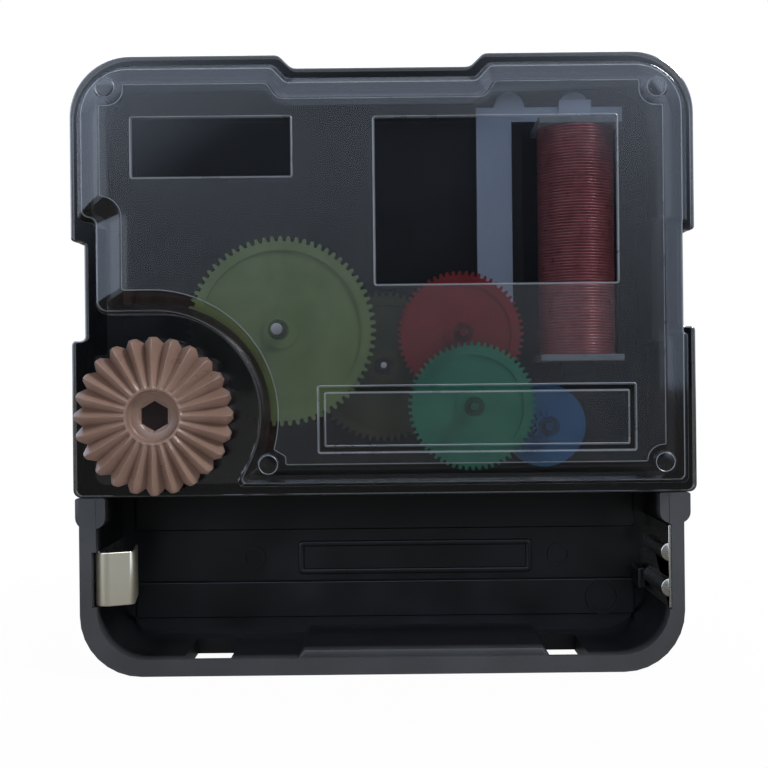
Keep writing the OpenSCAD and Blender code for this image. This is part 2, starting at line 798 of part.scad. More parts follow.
module quartz_crystal() {
    color(steel) stand() translate([board[0] + 2.1, board[2] + 2.4, board_z + board_t + crystal_r])
        rotate([0, 90, 0])
        cylinder(h = 6, r = crystal_r);
}

// Battery contacts

strip_t = 0.25;
clip_x = bay_left - 0.35;
strip_y = [bay_low + bay_corner_r + 0.3, bay_high - 5.1];
leaf_r = 1;
leaf_lean = 65;
leaf_len = 1.7;
nose_r = 0.5;
tail_lean = -8;
tail_len = 4.5;
leaf_hinge = [clip_x + strip_t/2 + leaf_r, bay_rim_z - 0.3 - strip_t/2 - leaf_r];
leaf_end = leaf_hinge + polar(leaf_r, leaf_lean) + polar(leaf_len, leaf_lean - 90);
nose_at = leaf_end - polar(nose_r, leaf_lean);
leaf_nose = nose_at[0] + nose_r + strip_t/2;
contact_x = bay_right - 0.1;
contact_y = [bay_low + bay_corner_r - 0.3, bay_high - 3.1];

// A strip of metal seen on edge, swept along points in the plane of width and depth
module strip(path, y0, y1) {
    n = len(path);
    along = [for (i = [0:n - 1]) unit(path[min(i + 1, n - 1)] - path[max(i - 1, 0)])];
    translate([0, y1, 0]) rotate([90, 0, 0]) linear_extrude(y1 - y0) polygon(concat(
        [for (i = [0:n - 1]) path[i] + left_of(along[i])*strip_t/2],
        [for (i = [n - 1:-1:0]) path[i] - left_of(along[i])*strip_t/2]
    ));
}

module negative_clip() {
    color(steel) stand()
        box(clip_x, clip_x + strip_t, strip_y[0], strip_y[1], floor_t, leaf_hinge[1] - 0.3);
}

module negative_spring_leaf() {
    fold = [for (i = [0:12]) leaf_hinge + polar(leaf_r, 180 + (leaf_lean - 180)*i/12)];
    nose = [for (i = [0:8]) nose_at + polar(nose_r, leaf_lean + (tail_lean - leaf_lean)*i/8)];
    tail = polar(tail_len, tail_lean - 90);
    color(steel) stand()
        strip(concat(fold, nose, [nose[8] + tail]), strip_y[0], strip_y[1]);
}

module positive_contact() {
    color(steel) stand() {
        box(contact_x, contact_x + strip_t, contact_y[0], contact_y[1], floor_t, bay_rim_z - 0.1);
        for (y = [bay_high - 5.5, bay_high - 8.7]) difference() {
            rod([contact_x + 0.15, y], 0.83, floor_t + 4, bay_rim_z - 0.15);
            box(contact_x, contact_x + 2, y - 1, y + 1, 0, case_d);
        }
    }
}

front_case();
back_cover();
train_plate();
threaded_stem();
hour_wheel();
minute_tube();
minute_wheel();
setting_idler();
setting_arbor();
setting_knob();
centre_gear();
third_wheel();
seconds_arbor();
seconds_wheel();
red_reduction_wheel();
green_reduction_wheel();
rotor_wheel();
rotor_magnet();
stator_long_arm();
stator_short_arm();
coil_core();
coil_bobbin();
coil_winding();
circuit_board();
ic_blob();
quartz_crystal();
negative_clip();
negative_spring_leaf();
positive_contact();
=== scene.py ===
"""Looks for the quartz clock movement: cover, base, knob, coil, stem, contacts, wheels and stage."""

import math

import bmesh
import bpy
from bpy.props import FloatProperty, FloatVectorProperty, IntProperty, PointerProperty
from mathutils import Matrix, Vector
from mathutils.geometry import delaunay_2d_cdt


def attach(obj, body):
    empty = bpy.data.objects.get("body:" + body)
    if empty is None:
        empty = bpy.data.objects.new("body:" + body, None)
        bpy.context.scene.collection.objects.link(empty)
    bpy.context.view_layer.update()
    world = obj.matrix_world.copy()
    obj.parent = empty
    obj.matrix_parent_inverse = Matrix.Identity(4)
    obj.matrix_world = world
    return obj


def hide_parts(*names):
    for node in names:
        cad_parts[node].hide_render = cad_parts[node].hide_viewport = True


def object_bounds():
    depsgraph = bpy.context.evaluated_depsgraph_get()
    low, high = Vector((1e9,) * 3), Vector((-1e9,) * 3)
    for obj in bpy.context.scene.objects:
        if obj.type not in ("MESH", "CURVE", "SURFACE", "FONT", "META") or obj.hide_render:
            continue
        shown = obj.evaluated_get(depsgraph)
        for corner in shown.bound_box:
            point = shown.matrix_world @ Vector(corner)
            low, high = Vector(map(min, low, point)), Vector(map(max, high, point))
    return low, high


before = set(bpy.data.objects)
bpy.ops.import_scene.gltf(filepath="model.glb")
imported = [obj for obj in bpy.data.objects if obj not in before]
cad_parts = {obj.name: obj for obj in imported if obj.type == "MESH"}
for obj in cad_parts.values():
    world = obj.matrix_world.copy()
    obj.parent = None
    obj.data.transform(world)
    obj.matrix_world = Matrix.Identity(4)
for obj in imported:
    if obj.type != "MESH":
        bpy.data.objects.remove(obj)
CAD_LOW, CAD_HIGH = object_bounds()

bl_info = {
    "name": "Quartz clock movement",
    "version": (1, 0, 0),
    "blender": (4, 5, 0),
    "location": "View3D > Sidebar > Movement",
    "description": "Dresses the packed movement: cover, base, knob, coil, stem, contacts, wheels and stage",
    "category": "Object",
}

MM = 0.001

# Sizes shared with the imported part, in millimetres. The plan is drawn as seen from the back, and a depth is
# counted backwards from the dial face.
CASE_HALF = 28.0
NOTCH = 1.2
TOP_NOTCH_HALF = 8.6
COVER_FOOT = -11.6
FLOOR_Z = 1.2
FLANGE_Z = 12.0
RIM_Z = 13.0
BACK_Z = 16.0
KNOB_AT = (-20.304, -4.279)
CENTRE_AT = (0, 0)
THIRD_AT = (-9.335, 3.269)
RED_AT = (7.098, 2.853)
TEAL_AT = (8.012, -3.734)
ROTOR_AT = (14.610, -5.538)
COIL_X = 17.9
COIL_Z = 9.4
COIL_LOW = 0.85
COIL_HIGH = 21.65
COIL_R = 3.55
LEAF_HINGE = (-25.225, 11.575)
STRIP_Y = (-21.4, -16.6)
STRIP_T = 0.25
STEM_R = 3.95
STEM_BORE = 2.98
STEM_END = -5.0


def linear(shade):
    """Linear RGBA of an sRGB hex colour, or of a setting that is linear RGB already."""
    if not isinstance(shade, str):
        return (*shade, 1.0)
    parts = [int(shade[i:i + 2], 16) / 255 for i in (1, 3, 5)]
    return tuple(c / 12.92 if c <= 0.04045 else ((c + 0.055) / 1.055) ** 2.4 for c in parts) + (1.0,)


def grey(v):
    return (v, v, v, 1.0)


def place(x, y, depth):
    """A point of the plan at a depth from the dial face, in the frame, in metres."""
    return Vector((x * MM, -depth * MM, y * MM))


def polar(r, degrees):
    a = math.radians(degrees)
    return Vector((r * math.cos(a), r * math.sin(a)))


# Outlines in the plan. A corner is (x, y, radius, steps), and the corners run anticlockwise.

def corner_parts(corners, i):
    """The ways into and out of a corner, and the corner itself."""
    n = len(corners)
    before, here, after = (Vector(corners[j % n][:2]) for j in (i - 1, i, i + 1))
    return (here - before).normalized(), (after - here).normalized(), here


def inset(corners, t):
    """The corners moved inwards by t: the round of a bulge gets tighter and that of a hollow wider."""
    out = []
    for i, (_, _, r, steps) in enumerate(corners):
        a, b, p = corner_parts(corners, i)
        na, nb = Vector((-a.y, a.x)), Vector((-b.y, b.x))
        m = (na + nb) * (t / (1 + na.dot(nb)))
        bulges = a.x * b.y - a.y * b.x > 0
        out.append((p.x + m.x, p.y + m.y, max(r - t if bulges else r + t, 0.06), steps))
    return out


def rounded(corners):
    """The outline's points, with each corner turned by its own radius."""
    points = []
    for i, (_, _, r, steps) in enumerate(corners):
        a, b, p = corner_parts(corners, i)
        turn = math.atan2(a.x * b.y - a.y * b.x, a.dot(b))
        reach = r * math.tan(abs(turn) / 2)
        side = 1 if turn > 0 else -1
        centre = p - a * reach + Vector((-a.y, a.x)) * (r * side)
        first = p - a * reach - centre
        start = math.atan2(first.y, first.x)
        for k in range(steps + 1):
            angle = start + turn * k / steps
            points.append(centre + Vector((math.cos(angle), math.sin(angle))) * r)
    return points


def inset_points(corners, t):
    return rounded(inset(corners, t))


def between(a, b, t):
    """Points part of the way from one outline to another of equal count."""
    return [p.lerp(q, t) for p, q in zip(a, b)]


def panel(x0, x1, y0, y1, r):
    return [(x, y, r, 5) for x, y in ((x0, y0), (x1, y0), (x1, y1), (x0, y1))]


def circle(at, r, steps=32):
    angles = [math.tau * i / steps for i in range(steps)]
    return [Vector((at[0] + r * math.cos(a), at[1] + r * math.sin(a))) for a in angles]


def encloses(loop, p):
    """Whether the loop goes round the point."""
    odd = False
    for a, b in zip(loop, loop[1:] + loop[:1]):
        if (a.y > p.y) != (b.y > p.y) and p.x < a.x + (b.x - a.x) * (p.y - a.y) / (b.y - a.y):
            odd = not odd
    return odd


# Meshes and objects

def skin(bm, rows, closed=True):
    """The faces between rows of vertices that follow each other, each row a ring or an open line."""
    faces = []
    for a, b in zip(rows, rows[1:]):
        n = len(a)
        for i in range(n if closed else n - 1):
            faces.append(bm.faces.new((a[i], a[(i + 1) % n], b[(i + 1) % n], b[i])))
    return faces


class Shell:
    """One mesh in the making, built from rings of points at depths of the plan."""

    def __init__(self):
        self.bm = bmesh.new()

    def ring(self, points, depth):
        return [self.bm.verts.new(place(p[0], p[1], depth)) for p in points]

    def band(self, a, b, finish=0):
        for f in skin(self.bm, (a, b)):
            f.material_index = finish

    def stack(self, rings, finish=0):
        """Bands between rings that follow each other, each given as (points, depth)."""
        made = [self.ring(points, depth) for points, depth in rings]
        for a, b in zip(made, made[1:]):
            self.band(a, b, finish)
        return made

    def fill(self, loops, finish=0):
        """A flat face between the first loop and the others, which are holes in it."""
        verts = [v for loop in loops for v in loop]
        plans = [[Vector((v.co.x, v.co.z)) / MM for v in loop] for loop in loops]
        edges, start = [], 0
        for loop in loops:
            edges += [(start + i, start + (i + 1) % len(loop)) for i in range(len(loop))]
            start += len(loop)
        points, _, triangles, origin = delaunay_2d_cdt(sum(plans, []), edges, [], 1, 1e-6)[:4]
        for triangle in triangles:
            middle = (points[triangle[0]] + points[triangle[1]] + points[triangle[2]]) / 3
            if sum(encloses(plan, middle) for plan in plans) % 2:
                f = self.bm.faces.new([verts[origin[i][0]] for i in triangle])
                f.material_index = finish

    def solid(self, rings, finish=0):
        """A stack that is closed at both ends."""
        made = self.stack(rings, finish)
        self.fill([made[0]], finish)
        self.fill([made[-1]], finish)

    def rod(self, at, r, z0, z1, steps=32, round_by=0.0, finish=0):
        """A closed rod, whose far edge can be rounded over."""
        rings = [(circle(at, r, steps), z0)]
        if round_by:
            for a in (math.radians(30 * k) for k in range(4)):
                in_by, back_by = round_by * (1 - math.cos(a)), round_by * (1 - math.sin(a))
                rings.append((circle(at, r - in_by, steps), z1 - back_by))
        else:
            rings.append((circle(at, r, steps), z1))
        self.solid(rings, finish)

    def tube(self, at, r, bore, z0, z1):
        outer, inner = (self.stack([(circle(at, q), z0), (circle(at, q), z1)]) for q in (r, bore))
        for a, b in zip(outer, inner):
            self.band(a, b)

    def done(self, name, finishes, sharp=35):
        bmesh.ops.recalc_face_normals(self.bm, faces=self.bm.faces[:])
        return evened(linked(name, mesh_of(self.bm, name, finishes)), sharp)


def mesh_of(bm, name, finishes=()):
    """The mesh that bm holds, with its finishes."""
    mesh = bpy.data.meshes.new(name)
    bm.to_mesh(mesh)
    bm.free()
    for m in finishes:
        mesh.materials.append(m)
    return mesh


def linked(name, data):
    """A new object in the scene, of a mesh, a lamp or a camera."""
    obj = bpy.data.objects.new(name, data)
    bpy.context.scene.collection.objects.link(obj)
    return obj


def applied(obj):
    """The object with its modifiers turned into its own mesh."""
    evaluated = obj.evaluated_get(bpy.context.evaluated_depsgraph_get())
    mesh = bpy.data.meshes.new_from_object(evaluated)
    obj.modifiers.clear()
    obj.data = mesh
    mesh.name = obj.name
    return obj


def evened(obj, sharp):
    """The object with smooth rounds, flat faces that stay flat, and edges sharp from an angle in degrees."""
    obj.data.shade_smooth()
    obj.data.set_sharp_from_angle(angle=math.radians(sharp))
    even = obj.modifiers.new("even", "WEIGHTED_NORMAL")
    even.keep_sharp = True
    return applied(obj)


def softened(node, name, width, finish):
    """A copy of a CAD node with its edges rounded."""
    bm = bmesh.new()
    bm.from_mesh(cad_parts[node].data)
    bmesh.ops.remove_doubles(bm, verts=bm.verts, dist=2e-6)
    bmesh.ops.dissolve_limit(bm, angle_limit=math.radians(0.6), verts=bm.verts, edges=bm.edges)
    obj = linked(name, mesh_of(bm, name, [finish]))
    bevel = obj.modifiers.new("bevel", "BEVEL")
    bevel.width = width * MM
    bevel.segments = 2
    bevel.limit_method = "ANGLE"
    bevel.angle_limit = math.radians(40)
    bevel.use_clamp_overlap = True
    bevel.harden_normals = False
    return evened(applied(obj), 50)


def dress(node, finish):
    """Gives a CAD node, which stays as it is, a finish of its own."""
    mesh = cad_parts[node].data
    mesh.materials.clear()
    mesh.materials.append(finish)


# Node trees

def add(tree, kind, values=None, links=None, **settings):
    """Adds a node with its settings, its inputs' values and the sockets that feed them."""
    n = tree.nodes.new(kind)
    for k, v in settings.items():
        setattr(n, k, v)
    for k, v in (values or {}).items():
        n.inputs[k].default_value = v
    for k, s in (links or {}).items():
        tree.links.new(s, n.inputs[k])
    return n


def row_tree(name):
    """A tree that copies one object in a row or a ring about the depth axis, and its inputs' sockets."""
    tree = bpy.data.node_groups.new(name, "GeometryNodeTree")
    sockets = {}
    for label, kind in (("Unit", "Object"), ("Count", "Int"), ("Start", "Vector"), ("Step", "Vector"),
                        ("Turn", "Float"), ("Wobble", "Float"), ("Finish", "Material")):
        sockets[label] = tree.interface.new_socket(label, in_out="INPUT", socket_type="NodeSocket" + kind)
    tree.interface.new_socket("Geometry", in_out="OUTPUT", socket_type="NodeSocketGeometry")
    given = add(tree, "NodeGroupInput").outputs
    index = add(tree, "GeometryNodeInputIndex").outputs[0]
    offset = add(tree, "ShaderNodeVectorMath", links={0: given["Step"], "Scale": index}, operation="SCALE")
    where = add(tree, "ShaderNodeVectorMath", links={0: given["Start"], 1: offset.outputs[0]},
                operation="ADD")
    points = add(tree, "GeometryNodePoints", links={"Count": given["Count"], "Position": where.outputs[0]})
    angle = add(tree, "ShaderNodeMath", links={0: given["Turn"], 1: index}, operation="MULTIPLY")
    euler = add(tree, "ShaderNodeCombineXYZ", links={"Y": angle.outputs[0]})
    chance = add(tree, "FunctionNodeRandomValue", {"Seed": 1, 2: -1.0, 3: 1.0}, data_type="FLOAT")
    grown = add(tree, "ShaderNodeMath", {2: 1.0}, {0: chance.outputs[1], 1: given["Wobble"]},
                operation="MULTIPLY_ADD")
    size = add(tree, "ShaderNodeCombineXYZ", {"Z": 1.0}, {"X": grown.outputs[0], "Y": grown.outputs[0]})
    source = add(tree, "GeometryNodeObjectInfo", {"As Instance": True}, {"Object": given["Unit"]})
    copies = add(tree, "GeometryNodeInstanceOnPoints", links={
        "Points": points.outputs[0], "Instance": source.outputs["Geometry"],
        "Rotation": euler.outputs[0], "Scale": size.outputs[0]})
    real = add(tree, "GeometryNodeRealizeInstances", links={0: copies.outputs[0]})
    joined = add(tree, "GeometryNodeMergeByDistance", {"Distance": 2e-6}, {"Geometry": real.outputs[0]})
    dressed = add(tree, "GeometryNodeSetMaterial", links={
        "Geometry": joined.outputs[0], "Material": given["Finish"]})
    add(tree, "NodeGroupOutput", links={0: dressed.outputs[0]})
    return tree, sockets


def repeated(name, unit_mesh, finish, count, start, step=(0, 0, 0), turn=0.0, wobble=0.0):
    """Copies of one mesh in a row or a ring, as one plain mesh."""
    tree, sockets = row_tree(name + "_row")
    unit = linked(name + "_unit", unit_mesh)
    obj = linked(name, bpy.data.meshes.new(name))
    rows = obj.modifiers.new("row", "NODES")
    rows.node_group = tree
    for label, value in (("Unit", unit), ("Count", count), ("Start", start), ("Step", step), ("Turn", turn),
                         ("Wobble", wobble), ("Finish", finish)):
        rows[sockets[label].identifier] = value
    applied(obj)
    bpy.data.objects.remove(unit)
    return obj


def new_finish(name):
    """A new material, its tree, its output and the coordinates of its own object."""
    m = bpy.data.materials.new(name)
    m.use_nodes = True
    m.node_tree.nodes.clear()
    out = add(m.node_tree, "ShaderNodeOutputMaterial")
    at = add(m.node_tree, "ShaderNodeTexCoord").outputs["Object"]
    return m, m.node_tree, out, at


def mottled(tree, at, size_mm, low, high):
    """Noise of a real size, spread between two colours or greys."""
    noise = add(tree, "ShaderNodeTexNoise", {"Scale": 1 / (size_mm * MM), "Detail": 4.0}, {"Vector": at})
    ramp = add(tree, "ShaderNodeValToRGB", links={"Fac": noise.outputs["Fac"]})
    first, last = ramp.color_ramp.elements
    first.position, last.position = 0.3, 0.7
    first.color, last.color = low, high
    return ramp.outputs["Color"]


def grained(tree, at, shader, size_mm, height_mm):
    """A fine grain of a real size and height in a shader's surface."""
    fine = add(tree, "ShaderNodeTexNoise", {"Scale": 1 / (size_mm * MM), "Detail": 3.0}, {"Vector": at})
    bump = add(tree, "ShaderNodeBump", {"Strength": 0.5, "Distance": height_mm * MM},
               {"Height": fine.outputs["Fac"]})
    tree.links.new(bump.outputs[0], shader.inputs["Normal"])


def moulded(name, dark, pale, rough, grain_mm, grain, cloud_mm, ior=1.49, spread=0.06, specular=0.5,
            outer=None):
    """A moulded plastic: clouds of colour from its flow, gloss that wanders, and the mould's grain.

    Outer is a second dark, pale and roughness, and the two depths between which they take over towards the
    back; a paler second tone there is painted highlight.
    """
    m, tree, out, at = new_finish(name)

    def tone_and_gloss(dark, pale, rough):
        """Colour clouds, and gloss clouds a little smaller than they are."""
        tone = mottled(tree, at, cloud_mm, linear(dark), linear(pale))
        gloss = mottled(tree, at, cloud_mm * 0.6, grey(rough - spread), grey(rough + spread))
        return tone, gloss

    tone, gloss = tone_and_gloss(dark, pale, rough)
    if outer:
        *second, low, high = outer
        # Towards the back the outer tones take over, and where they are paler they paint a highlight
        depth = add(tree, "ShaderNodeSeparateXYZ", links={0: at}).outputs["Y"]
        share = add(tree, "ShaderNodeMapRange", {"From Min": -low * MM, "From Max": -high * MM},
                    {"Value": depth})
        tone, gloss = (
            add(tree, "ShaderNodeMix", links={0: share.outputs[0], 6: a, 7: b}, data_type="RGBA").outputs[2]
            for a, b in zip((tone, gloss), tone_and_gloss(*second)))
    body = add(tree, "ShaderNodeBsdfPrincipled", {"IOR": ior, "Specular IOR Level": specular},
               {"Base Color": tone, "Roughness": gloss})
    grained(tree, at, body, grain_mm, grain)
    tree.links.new(body.outputs[0], out.inputs["Surface"])
    return m


def metal(name, dark, pale, rough, grain_mm, grain=0.004, metallic=1.0, blued=None):
    """A worked metal: streaks drawn out along one direction in its colour, gloss and relief.

    Blued is the colour of a heat tint, and the two heights between which it takes over downwards.
    """
    m, tree, out, at = new_finish(name)
    spread = 0.05
    drawn = add(tree, "ShaderNodeMapping", {"Scale": tuple(1 / (g * MM) for g in grain_mm)}, {"Vector": at})
    streaks = add(tree, "ShaderNodeTexNoise", {"Scale": 1.0, "Detail": 3.0}, {"Vector": drawn.outputs[0]})
    ramp = add(tree, "ShaderNodeValToRGB", links={"Fac": streaks.outputs["Fac"]})
    first, last = ramp.color_ramp.elements
    first.color, last.color = linear(dark), linear(pale)
    gloss = add(tree, "ShaderNodeMapRange", {"To Min": rough - spread, "To Max": rough + spread},
                {"Value": streaks.outputs["Fac"]})
    tone = ramp.outputs["Color"]
    if blued:
        tint, high, low = blued
        height = add(tree, "ShaderNodeSeparateXYZ", links={0: at}).outputs["Z"]
        share = add(tree, "ShaderNodeMapRange", {"From Min": high * MM, "From Max": low * MM},
                    {"Value": height})
        mixed = add(tree, "ShaderNodeMix", {7: linear(tint)}, {0: share.outputs[0], 6: tone},
                    data_type="RGBA")
        tone = mixed.outputs[2]
    body = add(tree, "ShaderNodeBsdfPrincipled", {"Metallic": metallic},
               {"Base Color": tone, "Roughness": gloss.outputs[0]})
    bump = add(tree, "ShaderNodeBump", {"Strength": 0.4, "Distance": grain * MM},
               {"Height": streaks.outputs["Fac"]})
    tree.links.new(bump.outputs[0], body.inputs["Normal"])
    tree.links.new(body.outputs[0], out.inputs["Surface"])
    return m


def smoke(name, share, rough, haze, grain=0.0):
    """Smoke-tinted polystyrene: part of the light passes, and the rest meets a dark glossy skin."""
    m, tree, out, at = new_finish(name)
    ior = 1.59
    skin = add(tree, "ShaderNodeBsdfPrincipled", {
        "IOR": ior, "Specular IOR Level": 1.0, "Alpha": share,
        "Coat Weight": 1.0, "Coat IOR": ior, "Coat Roughness": rough}, {
        "Base Color": mottled(tree, at, 5.0, linear(haze[0]), linear(haze[1])),
        "Roughness": mottled(tree, at, 2.5, grey(max(rough - 0.04, 0.02)), grey(rough + 0.05))})
    if grain:
        grained(tree, at, skin, 0.2, grain)
    tree.links.new(skin.outputs[0], out.inputs["Surface"])
    return m


# Settings

def length(name, description, default):
    return FloatProperty(name=name, description=description, default=default * MM, unit="LENGTH", precision=5)


def colour(name, description, hex_colour):
    return FloatVectorProperty(name=name, description=description, default=linear(hex_colour)[:3], size=3,
                               subtype="COLOR", min=0, max=1)


class CoverSettings(bpy.types.PropertyGroup):
    window_depth: length("Window depth", "Depth of the polished windows in the satin back", 0.15)
    cover_share: FloatProperty(name="Smoke", description="Share of the light that the smoke plastic keeps",
                               default=0.36, min=0, max=1, subtype="FACTOR")


class BaseSettings(bpy.types.PropertyGroup):
    edge: length("Edge", "Rounding of the base's edges", 0.14)
    dark: colour("Dark", "Dark tone of the black plastic", "#060607")
    pale: colour("Pale", "Pale tone of the black plastic", "#0C0C0D")


class KnobSettings(bpy.types.PropertyGroup):
    ribs: IntProperty(name="Ribs", description="Ribs on the knob's face", default=24, min=12, max=36)
    rib_height: length("Rib height", "Height of a rib over the valley beside it, at the rim", 1.25)


class CoilSettings(bpy.types.PropertyGroup):
    wire: length("Wire", "Thickness of the drawn wire, coarser than the real one so that it shows", 0.26)
    wobble: FloatProperty(name="Wobble", description="How unevenly the turns lie", default=0.006,
                          min=0, max=0.05, subtype="FACTOR")


class StemSettings(bpy.types.PropertyGroup):
    pitch: length("Thread pitch", "Pitch of the stem's M8 fine thread", 0.75)
    thread_depth: length("Thread depth", "Depth of the stem's thread", 0.42)


class StageSettings(bpy.types.PropertyGroup):
    distance: length("Distance", "Distance from the camera to the dial face", 122.5)
    roll: FloatProperty(name="Roll", description="Roll of the camera", default=math.radians(0.6),
                        subtype="ANGLE")
    lamp: FloatProperty(name="Lamp", description="Strength of the main lamp", default=1.0, min=0,
                        unit="POWER")


GROUPS = {"movement_cover": CoverSettings, "movement_base": BaseSettings, "movement_knob": KnobSettings,
          "movement_coil": CoilSettings, "movement_stem": StemSettings, "movement_stage": StageSettings}


# Cover

# The order of the cover's finishes
POLISHED, SATIN, PAINTED_HIGHLIGHT, DEEP = range(4)

# Top left, top right, foot left and foot right
PEGS = ((-24.1, 24.45), (24.05, 24.05), (-10.18, -8.6), (24.5, -8.7))
PEG_R = 0.62

# Left, right, foot and head of the windows and of the sunk frame's two edges
SMALL_WINDOW = (-21.95, -7.85, 16.5, 21.85)
LARGE_WINDOW = (-0.75, 20.6, 6.95, 21.7)
FRAME_OUTSIDE = (-5.8, 22.0, -7.65, -1.77)
FRAME_INSIDE = (-5.15, 21.35, -7.0, -2.42)

SHOULDER_Z = 14.26
CEILING_Z = 14.75
SHAFT_HOLE_R = 1.3


def flange_corners():
    """The flange's outline with its three notches."""
    left, right, foot, head = -CASE_HALF, CASE_HALF, COVER_FOOT, CASE_HALF
    half = TOP_NOTCH_HALF
    return [
        (left, foot, 0.7, 6), (right, foot, 0.7, 6),
        (right, 3.3, 0.4, 5), (right - NOTCH, 3.3, 0.4, 5),
        (right - NOTCH, 11.9, 0.4, 5), (right, 11.9, 0.4, 5),
        (right, head, 5.5, 16),
        (half + 0.6, head, 1, 6), (half - 0.6, head - NOTCH, 1, 6),
        (-half + 0.6, head - NOTCH, 1, 6), (-half - 0.6, head, 1, 6),
        (left, head, 5.5, 16),
        (left, 11.4, 0.4, 5), (left + NOTCH, 11.4, 0.4, 5), (left + NOTCH, 2.5, 0.4, 5), (left, 2.5, 0.4, 5),
    ]


def scoop_end(r, degrees):
    """The point where the scoop's round ends at an angle about the knob, and the way its straight runs on."""
    return Vector(KNOB_AT) + polar(r, degrees), polar(1, degrees + 90)


def at_height(start, along, y):
    """The point of a straight at a height."""
    return start + along * ((y - start.y) / along.y)


def dome_corners(foot, left, right, head, head_r, top, side, shelf, scoop_r, leave):
    """The raised part's outline at one depth, with its notches and the scoop round the knob.

    Top is the top notch's half width outside and inside, and its depth. Side is the right notch's
    depth, foot and head. Shelf is the height and radius of the left notch's outer corner, the place
    and radius of its inner one, and the radius below it. The scoop's round ends at the angle leave.
    """
    off, along = scoop_end(scoop_r, leave)
    shelf_y = KNOB_AT[1] + scoop_r
    meet = at_height(off, along, shelf_y)
    low = at_height(off, along, foot)
    wide, narrow, sunk = top
    cut, cut_low, cut_high = side
    (y_out, r_out), (x_in, y_in, r_in), r_low = shelf
    return [
        (low.x, foot, 0.4, 6), (right, foot, 0.5, 6),
        (right, cut_low, 0.3, 4), (right - cut, cut_low + 0.4, 0.3, 4),
        (right - cut, cut_high - 0.4, 0.3, 4), (right, cut_high, 0.3, 4),
        (right, head, head_r, 16),
        (wide, head, 0.8, 6), (narrow, head - sunk, 0.8, 6),
        (-narrow, head - sunk, 0.8, 6), (-wide, head, 0.8, 6),
        (left, head, head_r, 16),
        (left, y_out, r_out, 6), (x_in, y_in, r_in, 8),
        (x_in, shelf_y, r_low, 6), (meet.x, meet.y, scoop_r, 48),
    ]


# The raised part at its foot on the flange, where its chamfer starts, and at its flat back
FOOT = dome_corners(-10.7, -27.2, 27.2, 27.0, 4.7, (9.7, 8.5, 1.25), (0.8, 2.5, 12.7),
                    ((13.1, 0.7), (-25.6, 13.1, 0.7), 0.9), 9.15, -28)
SHOULDER = dome_corners(-10.4, -26.7, 26.65, 26.5, 4.2, (9.7, 8.5, 1.3), (0.04, 2.5, 12.7),
                        ((13.35, 0.7), (-25.4, 13.35, 0.7), 0.9), 9.3, -27)
FACE = dome_corners(-8.8, -24.85, 24.75, 24.9, 2.0, (9.9, 9.0, 1.35), (0.03, 2.5, 12.7),
                    ((14.9, 0.3), (-23.0, 14.4, 1.6), 0.4), 10.85, -18)


def satin_corners():
    """The flat back's outline with bites round the pegs, which stand in polished ground."""
    corners = inset(FACE, 0.16)
    low_left, head_right, head_left, scoop = (corners[i] for i in (0, 6, 11, 15))
    top_notch, left_notch = corners[7:11], corners[12:15]
    left, right, foot, head = head_left[0], head_right[0], low_left[1], head_right[1]
    (lx, ly), (rx, ry), (fx, fy), (gx, gy) = PEGS
    bite, turn = 1.5, 1.35
    end, along = scoop_end(scoop[2], -13)
    meet = at_height(end, along, scoop[1])
    low = at_height(end, along, fy + 1.3)
    return [
        (fx + bite, foot, 0.2, 4), (gx - bite, foot, 0.2, 4), (gx - bite, gy + bite, turn, 10),
        (right, gy + bite, 0.15, 4),
        (right, ry - bite, 0.15, 4), (rx - bite, ry - bite, turn, 10), (rx - bite, head, 0.15, 4),
        *top_notch,
        (lx + bite, head, 0.15, 4), (lx + bite, ly - bite, turn, 10), (left, ly - bite, 0.15, 4),
        *left_notch,
        (meet.x, meet.y, scoop[2], 48), (low.x, low.y, 0.2, 4), (fx + bite, low.y - 0.6, 0.3, 4),
    ]


def cover_flange(shell):
    """The flange's rim, rounded over at both faces."""
    return shell.stack([(inset_points(flange_corners(), t), z) for z, t in (
        (FLANGE_Z, 0.12), (FLANGE_Z + 0.04, 0.03), (FLANGE_Z + 0.12, 0),
        (RIM_Z - 0.16, 0), (RIM_Z - 0.05, 0.05), (RIM_Z, 0.16))], DEEP)


def cover_wall(shell):
    """The raised part's wall: a fillet, a steep side, a shoulder, a wide chamfer and the edge of the back."""
    foot, shoulder, face = rounded(FOOT), rounded(SHOULDER), rounded(FACE)
    wall = [shell.ring(points, depth) for points, depth in (
        (inset_points(FOOT, -0.13), RIM_Z), (inset_points(FOOT, -0.05), RIM_Z + 0.03), (foot, RIM_Z + 0.12),
        (between(foot, shoulder, 0.92), SHOULDER_Z - 0.1), (shoulder, SHOULDER_Z),
        (between(shoulder, face, 0.07), SHOULDER_Z + 0.12), (between(shoulder, face, 0.93), BACK_Z - 0.14),
        (between(shoulder, face, 0.98), BACK_Z - 0.05), (face, BACK_Z - 0.01),
        (inset_points(FACE, 0.07), BACK_Z))]
    # The fillet and the shoulder's rounding are pale grey painted highlight
    finishes = (POLISHED, PAINTED_HIGHLIGHT, DEEP, DEEP, PAINTED_HIGHLIGHT, POLISHED, POLISHED, POLISHED, POLISHED)
    for a, b, finish in zip(wall, wall[1:], finishes):
        shell.band(a, b, finish)
    return wall


def bead(shell, corners, way, sink):
    """The edges of a low bead and its slope down to a sunk ground inside it (way 1) or outside (-1)."""
    # The bead and its slope are pale grey painted highlight
    made = shell.stack([(inset_points(corners, way * t), z) for z, t in (
        (BACK_Z, -0.06), (BACK_Z + 0.03, 0.0), (BACK_Z, 0.06), (BACK_Z - sink, 0.14))], PAINTED_HIGHLIGHT)
    return made[0], made[-1]


